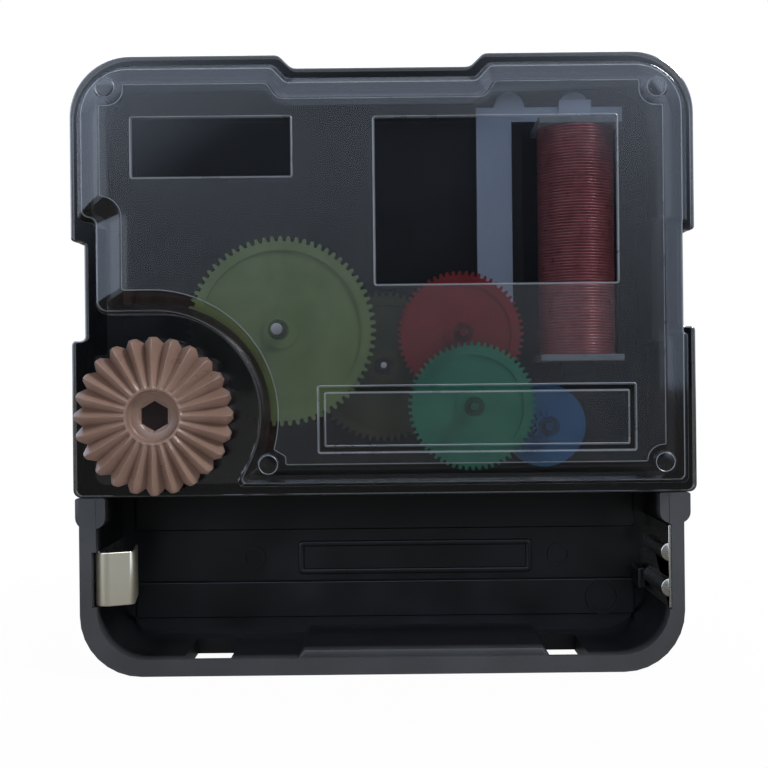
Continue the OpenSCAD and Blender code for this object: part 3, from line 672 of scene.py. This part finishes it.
def cover_back(shell, rim, sink):
    """The satin back inside its thin pale edge of painted highlight, with its polished windows and its sunk
    frame.
    """
    edge = shell.stack([(inset_points(satin_corners(), t), BACK_Z) for t in (0, 0.09)], PAINTED_HIGHLIGHT)
    shell.fill([rim, edge[0]])
    loops = [edge[1]]
    for window, corner_r in ((SMALL_WINDOW, 0.2), (LARGE_WINDOW, 0.25)):
        outside, pane = bead(shell, panel(*window, corner_r), 1, sink)
        shell.fill([pane])
        loops.append(outside)
    outside, sunk_outside = bead(shell, panel(*FRAME_OUTSIDE, 0.2), 1, sink)
    inside, sunk_inside = bead(shell, panel(*FRAME_INSIDE, 0.1), -1, sink)
    shell.band(sunk_outside, sunk_inside)
    shell.fill([inside], SATIN)
    shell.fill([*loops, outside], SATIN)


def cover_room(shell, flange_edge, hole_edge):
    """The room inside, from the flange's underside up to the ceiling."""
    room = shell.stack([(inset_points(FOOT, 0.9), FLANGE_Z), (inset_points(FOOT, 1.0), 13.7),
                        (inset_points(FACE, 0.35), CEILING_Z), (inset_points(FACE, 0.5), CEILING_Z + 0.05)])
    shell.fill([flange_edge, room[0], hole_edge], DEEP)
    shell.fill([room[-1]])


def cover_bosses(shell):
    """The arbors' bearing bosses inside, and outside over two of them a pale dot and a pale disc: painted
    highlight where the arbors' ends shine.
    """
    for at in (CENTRE_AT, THIRD_AT, RED_AT, TEAL_AT, ROTOR_AT):
        shell.tube(at, 0.9, 0.36, 12.9, CEILING_Z)
    for at, r in ((CENTRE_AT, 0.26), (THIRD_AT, 0.5)):
        shell.rod(at, r, BACK_Z - 0.3, BACK_Z + 0.03, steps=24, round_by=0.03, finish=PAINTED_HIGHLIGHT)


def cover_peg(shell, at):
    """A peg down into the case, with its round end in the back and a pale ring of painted highlight about
    that.
    """
    shell.rod(at, PEG_R, FLANGE_Z - 0.6, CEILING_Z)
    shell.rod(at, 1.0, BACK_Z - 1.9, BACK_Z - 0.02, steps=28, round_by=0.1)
    shell.rod(at, 0.82, BACK_Z - 0.4, BACK_Z + 0.04, steps=28, round_by=0.04)
    ring = shell.stack([(circle(at, r, 28), z) for r, z in (
        (0.82, BACK_Z), (0.86, BACK_Z + 0.03), (0.82, BACK_Z + 0.06), (0.77, BACK_Z + 0.03))], PAINTED_HIGHLIGHT)
    shell.band(ring[-1], ring[0], PAINTED_HIGHLIGHT)


class MOVEMENT_OT_cover(bpy.types.Operator):
    """Makes the smoke cover with its flange, chamfer, scoop and windows"""
    bl_idname = "movement.cover"
    bl_label = "Smoke cover"

    def execute(self, context):
        s = context.scene.movement_cover
        # Polystyrene, injection moulded. The polished mould gives it glassy bands and windows, and a
        # spark-eroded patch of the mould gives its back a soft grey haze. The thin pale lines along its sharp
        # edges
        # are painted highlight: a pale grey that stands in for the light those edges catch.
        polished = smoke("smoke_polystyrene_polished", s.cover_share, 0.05, ("#08090B", "#0D0F13"))
        satin = smoke("smoke_polystyrene_satin", s.cover_share, 0.38, ("#15181B", "#202428"), 0.0004)
        # Pale grey painted highlight for the edges, beads, peg rings and the dots over two bosses
        bright = smoke("smoke_polystyrene_edge", 0.62, 0.3, ("#6C727A", "#868C94"))
        # Seen along the flange, through many times its thickness, the same plastic is nearly black
        deep = smoke("smoke_polystyrene_deep", 0.93, 0.12, ("#141518", "#1C1E22"))
        shell = Shell()
        flange = cover_flange(shell)
        wall = cover_wall(shell)
        hole = [shell.ring(circle(KNOB_AT, SHAFT_HOLE_R), z) for z in (FLANGE_Z, RIM_Z)]
        shell.band(hole[0], hole[1])
        shell.fill([flange[-1], wall[0], hole[1]])
        cover_back(shell, wall[-1], s.window_depth / MM)
        cover_room(shell, flange[0], hole[0])
        cover_bosses(shell)
        for at in PEGS:
            cover_peg(shell, at)
        cover = shell.done("smoke_cover", [polished, satin, bright, deep], sharp=20)
        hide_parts("back_cover")
        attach(cover, "case")
        return {"FINISHED"}


# Base

# Left, right, foot and head of the mouldings on the bay's floor
RUNNERS = ((-24.8, 24.6, -15.95, -12.3), (-24.8, 24.6, -24.6, -21.1))
BARE_PLATE = (-8.6, 14.4, -20.4, -17.2)
END_STOP = (24.4, 25.1, -21.8, -19.7)
SMALL_RINGS = ((-13.1, -18.7), (17.2, -18.7))
LARGE_RING = (21.4, -22.9)

# How deep the mouldings are let into the floor
LET_IN_Z = FLOOR_Z - 0.2


def bay_bar(shell, box, height):
    """A bar with a rounded edge that stands up from the floor."""
    corners = panel(*box, 0.3)
    top = FLOOR_Z + height
    shell.solid([(inset_points(corners, t), z) for z, t in (
        (LET_IN_Z, -0.12), (top - 0.12, 0), (top - 0.03, 0.05), (top, 0.12))])


def bay_frame(shell, box, w, height):
    """A low frame of width w that stands round a bare plate."""
    corners = panel(*box, 0.4)
    top = FLOOR_Z + height
    rings = shell.stack([(inset_points(corners, t), z) for z, t in (
        (LET_IN_Z, -0.1), (top - 0.05, 0), (top, 0.08), (top, w - 0.08), (top - 0.05, w),
        (LET_IN_Z, w + 0.1))])
    shell.band(rings[-1], rings[0])


def wall_pad(shell):
    """The thicker middle of the bottom wall."""
    pad = [(-8.3, -26.5, 0.2, 3), (14.9, -26.5, 0.2, 3), (14.1, -25.5, 0.3, 4), (-7.5, -25.5, 0.3, 4)]
    shell.solid([(inset_points(pad, t), z) for z, t in (
        (LET_IN_Z, 0), (12.2, 0), (12.4, 0.1), (12.45, 0.25))])


class MOVEMENT_OT_base(bpy.types.Operator):
    """Rounds the base's edges and sets the mouldings in its battery bay"""
    bl_idname = "movement.base"
    bl_label = "Black base"

    def execute(self, context):
        s = context.scene.movement_base
        # ABS, injection moulded. The mould was polished inside the bay, which stays deep black with a low
        # sheen, and spark-eroded round the rims, which are rougher and turn soft grey: painted highlight for
        # the light the rims catch.
        black = moulded("black_abs", s.dark, s.pale, 0.36, grain_mm=0.3, grain=0.006, cloud_mm=9.0,
                        spread=0.07, outer=("#3E3F42", "#4A4C4F", 0.48, 11.0, 12.6))
        base = softened("front_case", "black_base", s.edge / MM, black)
        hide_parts("front_case")
        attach(base, "case")

        # The cell's two runners, the bare plate's frame, the plain rings beside it and the stop at the bumps
        shell = Shell()
        for box in RUNNERS:
            bay_bar(shell, box, 0.5)
        bay_frame(shell, BARE_PLATE, 0.45, 0.3)
        for at in SMALL_RINGS:
            shell.tube(at, 1.15, 0.85, LET_IN_Z, FLOOR_Z + 0.22)
        shell.tube(LARGE_RING, 1.7, 1.35, LET_IN_Z, FLOOR_Z + 0.75)
        bay_bar(shell, END_STOP, 3.0)
        wall_pad(shell)
        mouldings = shell.done("bay_mouldings", [black])
        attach(mouldings, "case")

        plate = softened("train_plate", "black_train_plate", 0.1, black)
        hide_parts("train_plate")
        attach(plate, "case")
        return {"FINISHED"}


# Knob

KNOB_Z = 13.3
KNOB_FOOT_VALLEY, KNOB_FOOT_CREST = 6.2, 6.45

# Places across a rib, from the valley on one side (-1) over the crest (0) to the valley on the other (1)
RIB_SHARES = (-1.0, -0.9, -0.7, -0.35, -0.06, 0.06, 0.35, 0.7, 0.9, 1.0)


def bulge(share):
    """How far out a rib reaches: a flat tip and two straight flanks down to the valleys."""
    return min(1.0, (1 - abs(share)) / 0.65)


def roof(share):
    """How high a rib stands: two flat flanks up to a narrow crest."""
    return min(1.0, (1 - abs(share)) / 0.94)


def knob_point(r, height, angle):
    """A point of the knob about the middle of its foot."""
    return Vector((r * math.cos(angle), -height, r * math.sin(angle))) * MM


def knob_stations(high):
    """Stations from the dish's lip out over the rim and down the side.

    Each has the radius and the height in a valley, then on a crest.
    """
    return [
        (1.50, 1.46, 1.50, 1.46), (2.06, 1.52, 2.06, 1.52), (2.20, 1.66, 2.20, 1.66),
        (2.30, 2.44, 2.30, 2.44), (2.38, 2.54, 2.38, 2.54), (2.50, 2.54, 2.50, 2.58),
        (2.62, 2.36, 2.62, 2.60), (3.6, 2.06, 3.6, 2.66), (4.8, 1.74, 4.8, 2.68),
        (5.9, 1.42, 5.9, 2.64), (6.3, 2.56 - high, 6.5, 2.56),
        (6.42, 1.22, 6.84, 2.4), (6.46, 1.16, 6.97, 2.2), (6.46, 1.12, 6.99, 1.55), (6.44, 1.08, 6.9, 1.32),
        (6.4, 1.05, 6.70, 1.20), (6.3, 0.30, 6.62, 0.32), (KNOB_FOOT_VALLEY, 0.0, KNOB_FOOT_CREST, 0.0),
    ]


def rib_mesh(half, high):
    """One rib, which spans half an angle to each side of its crest."""
    bm = bmesh.new()
    rows = []
    for rv, hv, rc, hc in knob_stations(high):
        row = []
        for share in RIB_SHARES:
            r, height = rv + (rc - rv) * bulge(share), hv + (hc - hv) * roof(share)
            row.append(bm.verts.new(knob_point(r, height, half * share)))
        rows.append(row)
    skin(bm, rows, closed=False)
    return mesh_of(bm, "rib")


def knob_mesh(ribs_mesh, count, finishes):
    """The ring of ribs, closed by the hexagonal socket with its chamfer and by the underside."""
    bm = bmesh.new()
    bm.from_mesh(ribs_mesh)
    for f in bm.faces:
        f.material_index = 0
    centre = place(*KNOB_AT, KNOB_Z)
    spots = [(share, math.pi / count * (share + 2 * i)) for i in range(count) for share in RIB_SHARES[:-1]]

    def loop(r, height, sides=0):
        """A ring at the ribs' own angles, round or with flat sides."""
        out = []
        for _, a in spots:
            q = r
            if sides:
                step = math.tau / sides
                q = r * math.cos(step / 2) / math.cos((a + step / 2) % step - step / 2)
            out.append(bm.verts.new(centre + knob_point(q, height, a)))
        return out

    socket = [loop(1.50, 1.46), loop(1.46, 1.44), loop(1.36, 1.34), loop(1.36, 1.3, 6), loop(1.33, 1.1, 6)]
    skin(bm, socket)
    # The socket's floor takes the second finish, the brown painted nearly black as shade
    bm.faces.new(socket[-1]).material_index = 1
    step_out = KNOB_FOOT_CREST - KNOB_FOOT_VALLEY
    rim = [bm.verts.new(centre + knob_point(KNOB_FOOT_VALLEY + step_out * bulge(share), 0.0, a))
           for share, a in spots]
    under = [rim, loop(1.25, 0.0), loop(1.25, 0.9)]
    skin(bm, under)
    bm.faces.new(under[-1])
    bmesh.ops.remove_doubles(bm, verts=bm.verts, dist=4e-6)
    bmesh.ops.recalc_face_normals(bm, faces=bm.faces[:])
    return mesh_of(bm, "ribbed_knob", finishes)


class MOVEMENT_OT_knob(bpy.types.Operator):
    """Makes the ribbed setting knob"""
    bl_idname = "movement.knob"
    bl_label = "Setting knob"

    def execute(self, context):
        s = context.scene.movement_knob
        # ABS in a rose brown, moulded with a fine eroded texture that keeps its highlights soft
        brown = moulded("rose_brown_abs", "#8D7367", "#9C8175", 0.3, grain_mm=0.18, grain=0.006, cloud_mm=3.0,
                        spread=0.03)
        # The floor of the deep hexagonal socket: the same brown painted nearly black, as painted shade for
        # the depth of the hole
        shade = moulded("rose_brown_abs_socket", "#21181A", "#2C2122", 0.6, grain_mm=0.18, grain=0.01,
                        cloud_mm=1.0, specular=0.15)
        ribs = repeated("knob_ribs", rib_mesh(math.pi / s.ribs, s.rib_height / MM), brown, s.ribs,
                        place(*KNOB_AT, KNOB_Z), turn=math.tau / s.ribs)
        whole = knob_mesh(ribs.data, s.ribs, [brown, shade])
        bpy.data.objects.remove(ribs)
        knob = evened(linked("ribbed_knob", whole), 28)
        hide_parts("setting_knob")
        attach(knob, "knob")
        return {"FINISHED"}


# Coil

def turn_mesh(wire):
    """One turn of the wire about the upright, with its outside just within the winding's."""
    around, across = 56, 6
    middle_r = COIL_R - wire / 2 - 0.02
    bm = bmesh.new()
    rows = []
    for a in (math.tau * j / across for j in range(across)):
        r, up = middle_r + wire / 2 * math.cos(a), wire / 2 * math.sin(a)
        rows.append([bm.verts.new(Vector((r * math.cos(t), r * math.sin(t), up)) * MM)
                     for t in (math.tau * i / around for i in range(around))])
    skin(bm, rows + rows[:1])
    mesh = mesh_of(bm, "turn")
    mesh.shade_smooth()
    return mesh


class MOVEMENT_OT_coil(bpy.types.Operator):
    """Winds the coil turn by turn"""
    bl_idname = "movement.coil"
    bl_label = "Coil winding"

    def execute(self, context):
        s = context.scene.movement_coil
        # Enamelled copper: the clear red enamel over bright wire gives a glossy deep red with pink
        # lines of light. The real wire is a few hundredths of a millimetre thick and is drawn coarser
        # here, so that it shows.
        m, tree, out, at = new_finish("red_enamelled_copper")
        body = add(tree, "ShaderNodeBsdfPrincipled", {
            "Metallic": 0.35, "Coat Weight": 0.6, "Coat Roughness": 0.12}, {
            "Base Color": mottled(tree, at, 1.2, linear("#C4666E"), linear("#E0868C")),
            "Roughness": mottled(tree, at, 0.6, grey(0.26), grey(0.4))})
        tree.links.new(body.outputs[0], out.inputs["Surface"])
        wire = s.wire / MM
        room = COIL_HIGH - COIL_LOW
        count = int(room / wire)
        pitch = room / count
        turns = repeated("coil_turns", turn_mesh(wire), m, count, place(COIL_X, COIL_LOW + pitch / 2, COIL_Z),
                         step=(0, 0, pitch * MM), wobble=s.wobble)
        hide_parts("coil_winding")
        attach(turns, "case")
        return {"FINISHED"}


# Stem

FLANGE_R = 5.35
COLLAR_R = 4.25
THREAD_LENGTH = 4.85
STEM_STEPS = 96


def thread_rings(pitch, depth):
    """Rings up the threaded part, whose ridge climbs once a turn and fades in over half a millimetre."""
    rows = 60
    rings = []
    for z in (STEM_END + THREAD_LENGTH * j / rows for j in range(rows + 1)):
        points = []
        for i in range(STEM_STEPS):
            across = (z / pitch - i / STEM_STEPS) % 1.0
            ridge = max(0.0, min(1.0, 1.12 - 2.5 * abs(across - 0.5)))
            r = min(STEM_R - depth + depth * ridge, STEM_R - 0.5 + z - STEM_END)
            a = math.tau * i / STEM_STEPS
            points.append((r * math.cos(a), r * math.sin(a)))
        rings.append((points, z))
    return rings


class MOVEMENT_OT_stem(bpy.types.Operator):
    """Cuts the thread of the centre stem"""
    bl_idname = "movement.stem"
    bl_label = "Threaded stem"

    def execute(self, context):
        s = context.scene.movement_stem
        # Free-cutting brass, turned: fine rings round the stem catch the light
        brass = metal("turned_brass", "#B08A45", "#D2AE66", 0.24, grain_mm=(3.0, 0.06, 3.0), grain=0.003)
        plain = ((STEM_R, -0.1), (STEM_R, 0.0), (COLLAR_R, 0.02), (COLLAR_R, 1.2),
                 (FLANGE_R - 0.06, 1.22), (FLANGE_R, 1.28), (FLANGE_R, 1.72), (FLANGE_R - 0.08, 1.8))
        bore = ((STEM_BORE + 0.14, STEM_END), (STEM_BORE, STEM_END + 0.14), (STEM_BORE, 1.8))
        shell = Shell()
        outside = shell.stack(thread_rings(s.pitch / MM, s.thread_depth / MM)
                              + [(circle(CENTRE_AT, r, STEM_STEPS), z) for r, z in plain])
        inside = shell.stack([(circle(CENTRE_AT, r, STEM_STEPS), z) for r, z in bore])
        shell.band(outside[0], inside[0])
        shell.band(outside[-1], inside[-1])
        stem = shell.done("threaded_brass_stem", [brass], sharp=40)
        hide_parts("threaded_stem")
        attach(stem, "case")
        dress("minute_tube", brass)
        return {"FINISHED"}


# Contacts

LEAF_LEAN, TAIL_LEAN = 65, -8


def leaf_path():
    """The leaf's middle in width and depth: the fold, the run down to the nose, and the tail."""
    fold_r, nose_r = 1.0, 0.5
    run, tail = 1.7, 4.5
    path = [Vector(LEAF_HINGE) + polar(fold_r, 180 + (LEAF_LEAN - 180) * i / 20) for i in range(21)]
    nose = path[-1] + polar(run, LEAF_LEAN - 90) - polar(nose_r, LEAF_LEAN)
    path += [nose + polar(nose_r, LEAF_LEAN + (TAIL_LEAN - LEAF_LEAN) * i / 12) for i in range(13)]
    path += [path[-1] + polar(tail * k / 4, TAIL_LEAN - 90) for k in range(1, 5)]
    return path


def leaf_mesh(finish):
    """The strip swept along its path, with its cut edges eased."""
    path = leaf_path()
    (y0, y1), ease = STRIP_Y, 0.08
    face = ((y0, 0.6), (y0 + ease, 1), (y1 - ease, 1), (y1, 0.6))
    section = [*face, *((y, -k) for y, k in reversed(face))]
    bm = bmesh.new()
    columns = []
    for i, p in enumerate(path):
        a, b = path[max(i - 1, 0)], path[min(i + 1, len(path) - 1)]
        n = Vector((-(b - a).y, (b - a).x)).normalized() * (STRIP_T / 2)
        columns.append([bm.verts.new(place(p.x + n.x * k, y, p.y + n.y * k)) for y, k in section])
    skin(bm, columns)
    bm.faces.new(columns[0])
    bm.faces.new(columns[-1])
    bmesh.ops.recalc_face_normals(bm, faces=bm.faces[:])
    return mesh_of(bm, "spring_leaf", [finish])


class MOVEMENT_OT_contacts(bpy.types.Operator):
    """Bends the spring leaf and plates the battery contacts"""
    bl_idname = "movement.contacts"
    bl_label = "Battery contacts"

    def execute(self, context):
        # Spring steel strip with nickel: smooth, a little dulled by handling, with faint rolling lines
        # down its length
        rolled = (0.08, 4.0, 0.08)
        nickel = metal("bright_nickel_strip", "#D8D0B8", "#EEE6CE", 0.32, rolled, grain=0.003, metallic=0.8)
        leaf = evened(linked("spring_leaf", leaf_mesh(nickel)), 50)
        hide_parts("negative_spring_leaf")
        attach(leaf, "negative_leaf")
        # The same plating without the handling: it mirrors the dark bay
        fresh = metal("plain_nickel_plate", "#CFCBC0", "#E2DED2", 0.26, rolled, grain=0.003)
        for node, name in (("negative_clip", "contact_clip"), ("positive_contact", "bumped_contact")):
            piece = softened(node, name, 0.05, fresh)
            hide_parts(node)
            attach(piece, "case")
        return {"FINISHED"}


# Wheels and motor

# Dark and pale tone, and roughness
ACETALS = {
    "yellow_green_acetal": ("#96B678", "#A8C68A", 0.42),
    "olive_acetal": ("#4A4F22", "#5A602C", 0.42),
    "red_acetal": ("#A63338", "#BA4347", 0.38),
    "teal_acetal": ("#37A88A", "#4AB898", 0.38),
    "blue_acetal": ("#2F7EC4", "#4492D4", 0.38),
    "natural_acetal": ("#D9D6CA", "#E6E4DA", 0.4),
}

WHEELS = {
    "yellow_green_acetal": ("third_wheel",),
    "olive_acetal": ("seconds_wheel",),
    "red_acetal": ("red_reduction_wheel",),
    "teal_acetal": ("green_reduction_wheel",),
    "blue_acetal": ("rotor_wheel",),
    "natural_acetal": ("hour_wheel", "minute_wheel", "setting_idler", "setting_arbor", "centre_gear"),
}


class MOVEMENT_OT_works(bpy.types.Operator):
    """Colours the wheels and gives the motor and the board their finishes"""
    bl_idname = "movement.works"
    bl_label = "Wheels and motor"

    def execute(self, context):
        # Acetal wheels, moulded: waxy, with faint flow clouds and a low sheen
        for name, (dark, pale, rough) in ACETALS.items():
            acetal = moulded(name, dark, pale, rough, grain_mm=0.2, grain=0.005, cloud_mm=2.5, ior=1.48)
            for node in WHEELS[name]:
                dress(node, acetal)
        dress("seconds_arbor", metal("ground_steel", "#A9ABAE", "#C4C6C9", 0.22, (2.0, 0.05, 2.0),
                                     grain=0.002))
        dress("quartz_crystal", metal("drawn_steel_can", "#B4B6B9", "#CFD1D3", 0.3, (2.0, 0.08, 0.08)))
        # Soft iron sheet, punched and annealed: pale blue-grey with a cloudy bloom, and blued towards
        # its lower end
        cloudy = (0.2, 3.0, 1.2)
        iron = metal("punched_soft_iron", "#C2CFE2", "#DCE6F4", 0.42, cloudy, blued=("#20242B", 3.5, 1.0))
        # The same sheet with its blued anneal left on: almost black, with a low satin sheen
        blued = metal("blued_soft_iron", "#1C1F26", "#282C34", 0.5, cloudy)
        for node, name, skin in (("stator_long_arm", "stator_strip", iron),
                                 ("stator_short_arm", "stator_shoe", blued),
                                 ("coil_core", "core_strip", iron)):
            piece = softened(node, name, 0.06, skin)
            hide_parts(node)
            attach(piece, "case")
        # Nylon, moulded: milky pale blue with a soft sheen
        nylon = moulded("pale_blue_nylon", "#A9B7C8", "#BAC6D4", 0.4, grain_mm=0.2, grain=0.006, cloud_mm=3.0)
        bobbin = softened("coil_bobbin", "bobbin", 0.1, nylon)
        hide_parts("coil_bobbin")
        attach(bobbin, "case")
        for node, finish in (
                # Sintered ferrite: dull charcoal with a coarse grain
                ("rotor_magnet", ("sintered_ferrite", "#2A2A2D", "#3B3B3F", 0.62, 0.12, 0.02, 0.5)),
                # Glass-epoxy board under green solder mask, and the epoxy drop over its chip
                ("circuit_board", ("green_solder_mask", "#0F4A2A", "#1A6238", 0.3, 0.35, 0.01, 1.5)),
                ("ic_blob", ("black_epoxy", "#0B0B0C", "#151517", 0.22, 0.5, 0.01, 1.5))):
            dress(node, moulded(*finish))
        return {"FINISHED"}


# Stage

# Name, place, size in metres and share of the main lamp's strength
LAMPS = (("key", (0.26, -0.20, 0.30), 0.12, 1.0), ("fill", (-0.30, -0.22, 0.05), 0.3, 0.15),
         ("back", (0.0, 0.28, 0.25), 0.3, 0.5))
LAMP_TARGET = Vector((0, -0.01, 0))

# The photograph's width and the focal length that fits its perspective, in pixels
PICTURE_PIXELS, FOCAL_PIXELS = 768, 1221
SENSOR = 36
CAMERA_HEIGHT = -1.65


def direct(tree, path):
    """Whether a ray comes from the camera, straight or through the smoke plastic."""
    links = {0: path["Is Camera Ray"], 1: path["Is Transmission Ray"]}
    return add(tree, "ShaderNodeMath", links=links, operation="MAXIMUM").outputs[0]


def white_paper():
    """White paper: white for the eye, a little faded about the part, where it takes soft shadows."""
    m, tree, out, at = new_finish("white_paper")
    path = add(tree, "ShaderNodeLightPath").outputs
    seen = direct(tree, path)
    far = add(tree, "ShaderNodeVectorMath", links={0: at}, operation="LENGTH")
    fade = add(tree, "ShaderNodeMapRange",
               {"From Min": 0.03, "From Max": 0.12, "To Min": 0.97, "To Max": 1.0},
               {"Value": far.outputs["Value"]}, interpolation_type="SMOOTHSTEP")
    share = add(tree, "ShaderNodeMath", links={0: seen, 1: fade.outputs[0]}, operation="MULTIPLY")
    paper = add(tree, "ShaderNodeBsdfPrincipled", {"Roughness": 0.9}, {
        "Base Color": mottled(tree, at, 30.0, linear("#F1F1F1"), linear("#F6F6F6"))})
    # Gloss meets the floor dimmed, since the photograph's lower faces mirror a dark room
    white = add(tree, "ShaderNodeEmission", {"Color": grey(1.0), "Strength": 1.0})
    dim = add(tree, "ShaderNodeEmission", {"Color": grey(1.0), "Strength": 0.15})
    matt = add(tree, "ShaderNodeMixShader", links={
        0: path["Is Glossy Ray"], 1: paper.outputs[0], 2: dim.outputs[0]})
    both = add(tree, "ShaderNodeMixShader", links={
        0: share.outputs[0], 1: matt.outputs[0], 2: white.outputs[0]})
    # From below the floor isn't there, so that the underside can be seen
    clear = add(tree, "ShaderNodeBsdfTransparent")
    under = add(tree, "ShaderNodeNewGeometry").outputs["Backfacing"]
    sided = add(tree, "ShaderNodeMixShader", links={0: under, 1: both.outputs[0], 2: clear.outputs[0]})
    tree.links.new(sided.outputs[0], out.inputs["Surface"])
    return m


def studio():
    """Surroundings that are white for the eye and even light for the rest.

    Gloss meets a cool tent about the camera, bright above and dark behind the lens, and paler sides.
    """
    world = bpy.data.worlds.new("studio")
    world.use_nodes = True
    tree = world.node_tree
    tree.nodes.clear()
    way = add(tree, "ShaderNodeTexCoord").outputs["Generated"]
    parts = add(tree, "ShaderNodeSeparateXYZ", links={0: way})
    ahead = add(tree, "ShaderNodeMath", {1: -1.0}, {0: parts.outputs["Y"]}, operation="MULTIPLY")
    tent = add(tree, "ShaderNodeValToRGB", links={"Fac": ahead.outputs[0]})
    stops = tent.color_ramp.elements
    stops[0].position, stops[1].position = 0.5, 0.972
    stops[0].color, stops[1].color = grey(0.0), grey(0.05)
    for where in (0.8, 0.93):
        stops.new(where).color = grey(1.0)
    # Each share is read from one direction, and goes from the first level to the second between two bounds
    steep, side, above, left = (
        add(tree, "ShaderNodeMapRange", {"From Min": start, "From Max": end, "To Min": low, "To Max": high},
            {"Value": source}, interpolation_type="SMOOTHSTEP").outputs[0]
        for source, start, end, low, high in (
            (parts.outputs["Z"], -0.08, 0.3, 0.05, 2.1), (ahead.outputs[0], 0.8, 0.5, 0.0, 1.15),
            (parts.outputs["Z"], -0.5, 0.3, 0.3, 1.0), (parts.outputs["X"], -0.6, -0.4, 1.4, 1.0)))
    front = add(tree, "ShaderNodeMath", links={0: tent.outputs[0], 1: steep}, operation="MULTIPLY")
    sides = add(tree, "ShaderNodeMath", links={0: side, 1: above}, operation="MULTIPLY")
    lit = add(tree, "ShaderNodeMath", links={0: front.outputs[0], 1: sides.outputs[0]}, operation="ADD")
    gloss = add(tree, "ShaderNodeMath", links={0: lit.outputs[0], 1: left}, operation="MULTIPLY")
    cool = add(tree, "ShaderNodeVectorMath", {0: (0.8, 0.94, 1.2)}, {"Scale": gloss.outputs[0]},
               operation="SCALE")
    path = add(tree, "ShaderNodeLightPath").outputs
    plain = add(tree, "ShaderNodeMapRange", {"To Min": 0.26, "To Max": 1.0}, {"Value": direct(tree, path)})
    level = add(tree, "ShaderNodeMix", data_type="VECTOR", links={
        0: path["Is Glossy Ray"], 4: plain.outputs[0], 5: cool.outputs[0]})
    sky = add(tree, "ShaderNodeBackground", {"Strength": 1.0}, {"Color": level.outputs[1]})
    add(tree, "ShaderNodeOutputWorld", links={"Surface": sky.outputs[0]})
    return world


class MOVEMENT_OT_stage(bpy.types.Operator):
    """Sets the floor, the surroundings, the lamps and the camera"""
    bl_idname = "movement.stage"
    bl_label = "Stage"

    def execute(self, context):
        s = context.scene.movement_stage
        scene = context.scene
        scene.view_settings.view_transform = "Standard"

        # The floor is a little below the part, so that they don't share a plane
        half = 4
        low = CAD_LOW.z - 0.02 * MM
        mesh = bpy.data.meshes.new("floor")
        mesh.from_pydata([(-half, -half, low), (half, -half, low), (half, half, low), (-half, half, low)], [],
                         [(0, 1, 2, 3)])
        mesh.materials.append(white_paper())
        floor = linked("floor", mesh)
        scene.world = studio()

        for name, at, size, share in LAMPS:
            lamp = bpy.data.lights.new(name, "AREA")
            lamp.energy = s.lamp * share
            lamp.size = size
            obj = linked(name, lamp)
            obj.location = at
            obj.rotation_euler = (LAMP_TARGET - Vector(at)).to_track_quat("-Z", "Y").to_euler()

        eye = bpy.data.cameras.new("camera")
        eye.sensor_width = SENSOR
        eye.lens = SENSOR * FOCAL_PIXELS / PICTURE_PIXELS
        eye.clip_start, eye.clip_end = 0.005, 20
        camera = linked("camera", eye)
        camera.location = (0.0, -s.distance, CAMERA_HEIGHT * MM)
        camera.rotation_euler = (math.pi / 2, s.roll, 0)
        scene.camera = camera
        return {"FINISHED"}


OPERATORS = (MOVEMENT_OT_stage, MOVEMENT_OT_cover, MOVEMENT_OT_base, MOVEMENT_OT_knob, MOVEMENT_OT_coil,
             MOVEMENT_OT_stem, MOVEMENT_OT_contacts, MOVEMENT_OT_works)


class MOVEMENT_PT_panel(bpy.types.Panel):
    """Lists the movement's pieces and their settings"""
    bl_idname = "MOVEMENT_PT_panel"
    bl_label = "Clock movement"
    bl_space_type = "VIEW_3D"
    bl_region_type = "UI"
    bl_category = "Movement"

    def draw(self, context):
        for op in OPERATORS:
            self.layout.operator(op.bl_idname)
        for key, group in GROUPS.items():
            box = self.layout.box()
            for name in group.__annotations__:
                box.prop(getattr(context.scene, key), name)


def register():
    for cls in (*GROUPS.values(), *OPERATORS, MOVEMENT_PT_panel):
        bpy.utils.register_class(cls)
    for key, group in GROUPS.items():
        setattr(bpy.types.Scene, key, PointerProperty(type=group))


def unregister():
    for key in GROUPS:
        delattr(bpy.types.Scene, key)
    for cls in reversed((*GROUPS.values(), *OPERATORS, MOVEMENT_PT_panel)):
        bpy.utils.unregister_class(cls)


def main():
    register()
    for op in OPERATORS:
        group, name = op.bl_idname.split(".")
        getattr(getattr(bpy.ops, group), name)()


if __name__ == "__main__":
    main()
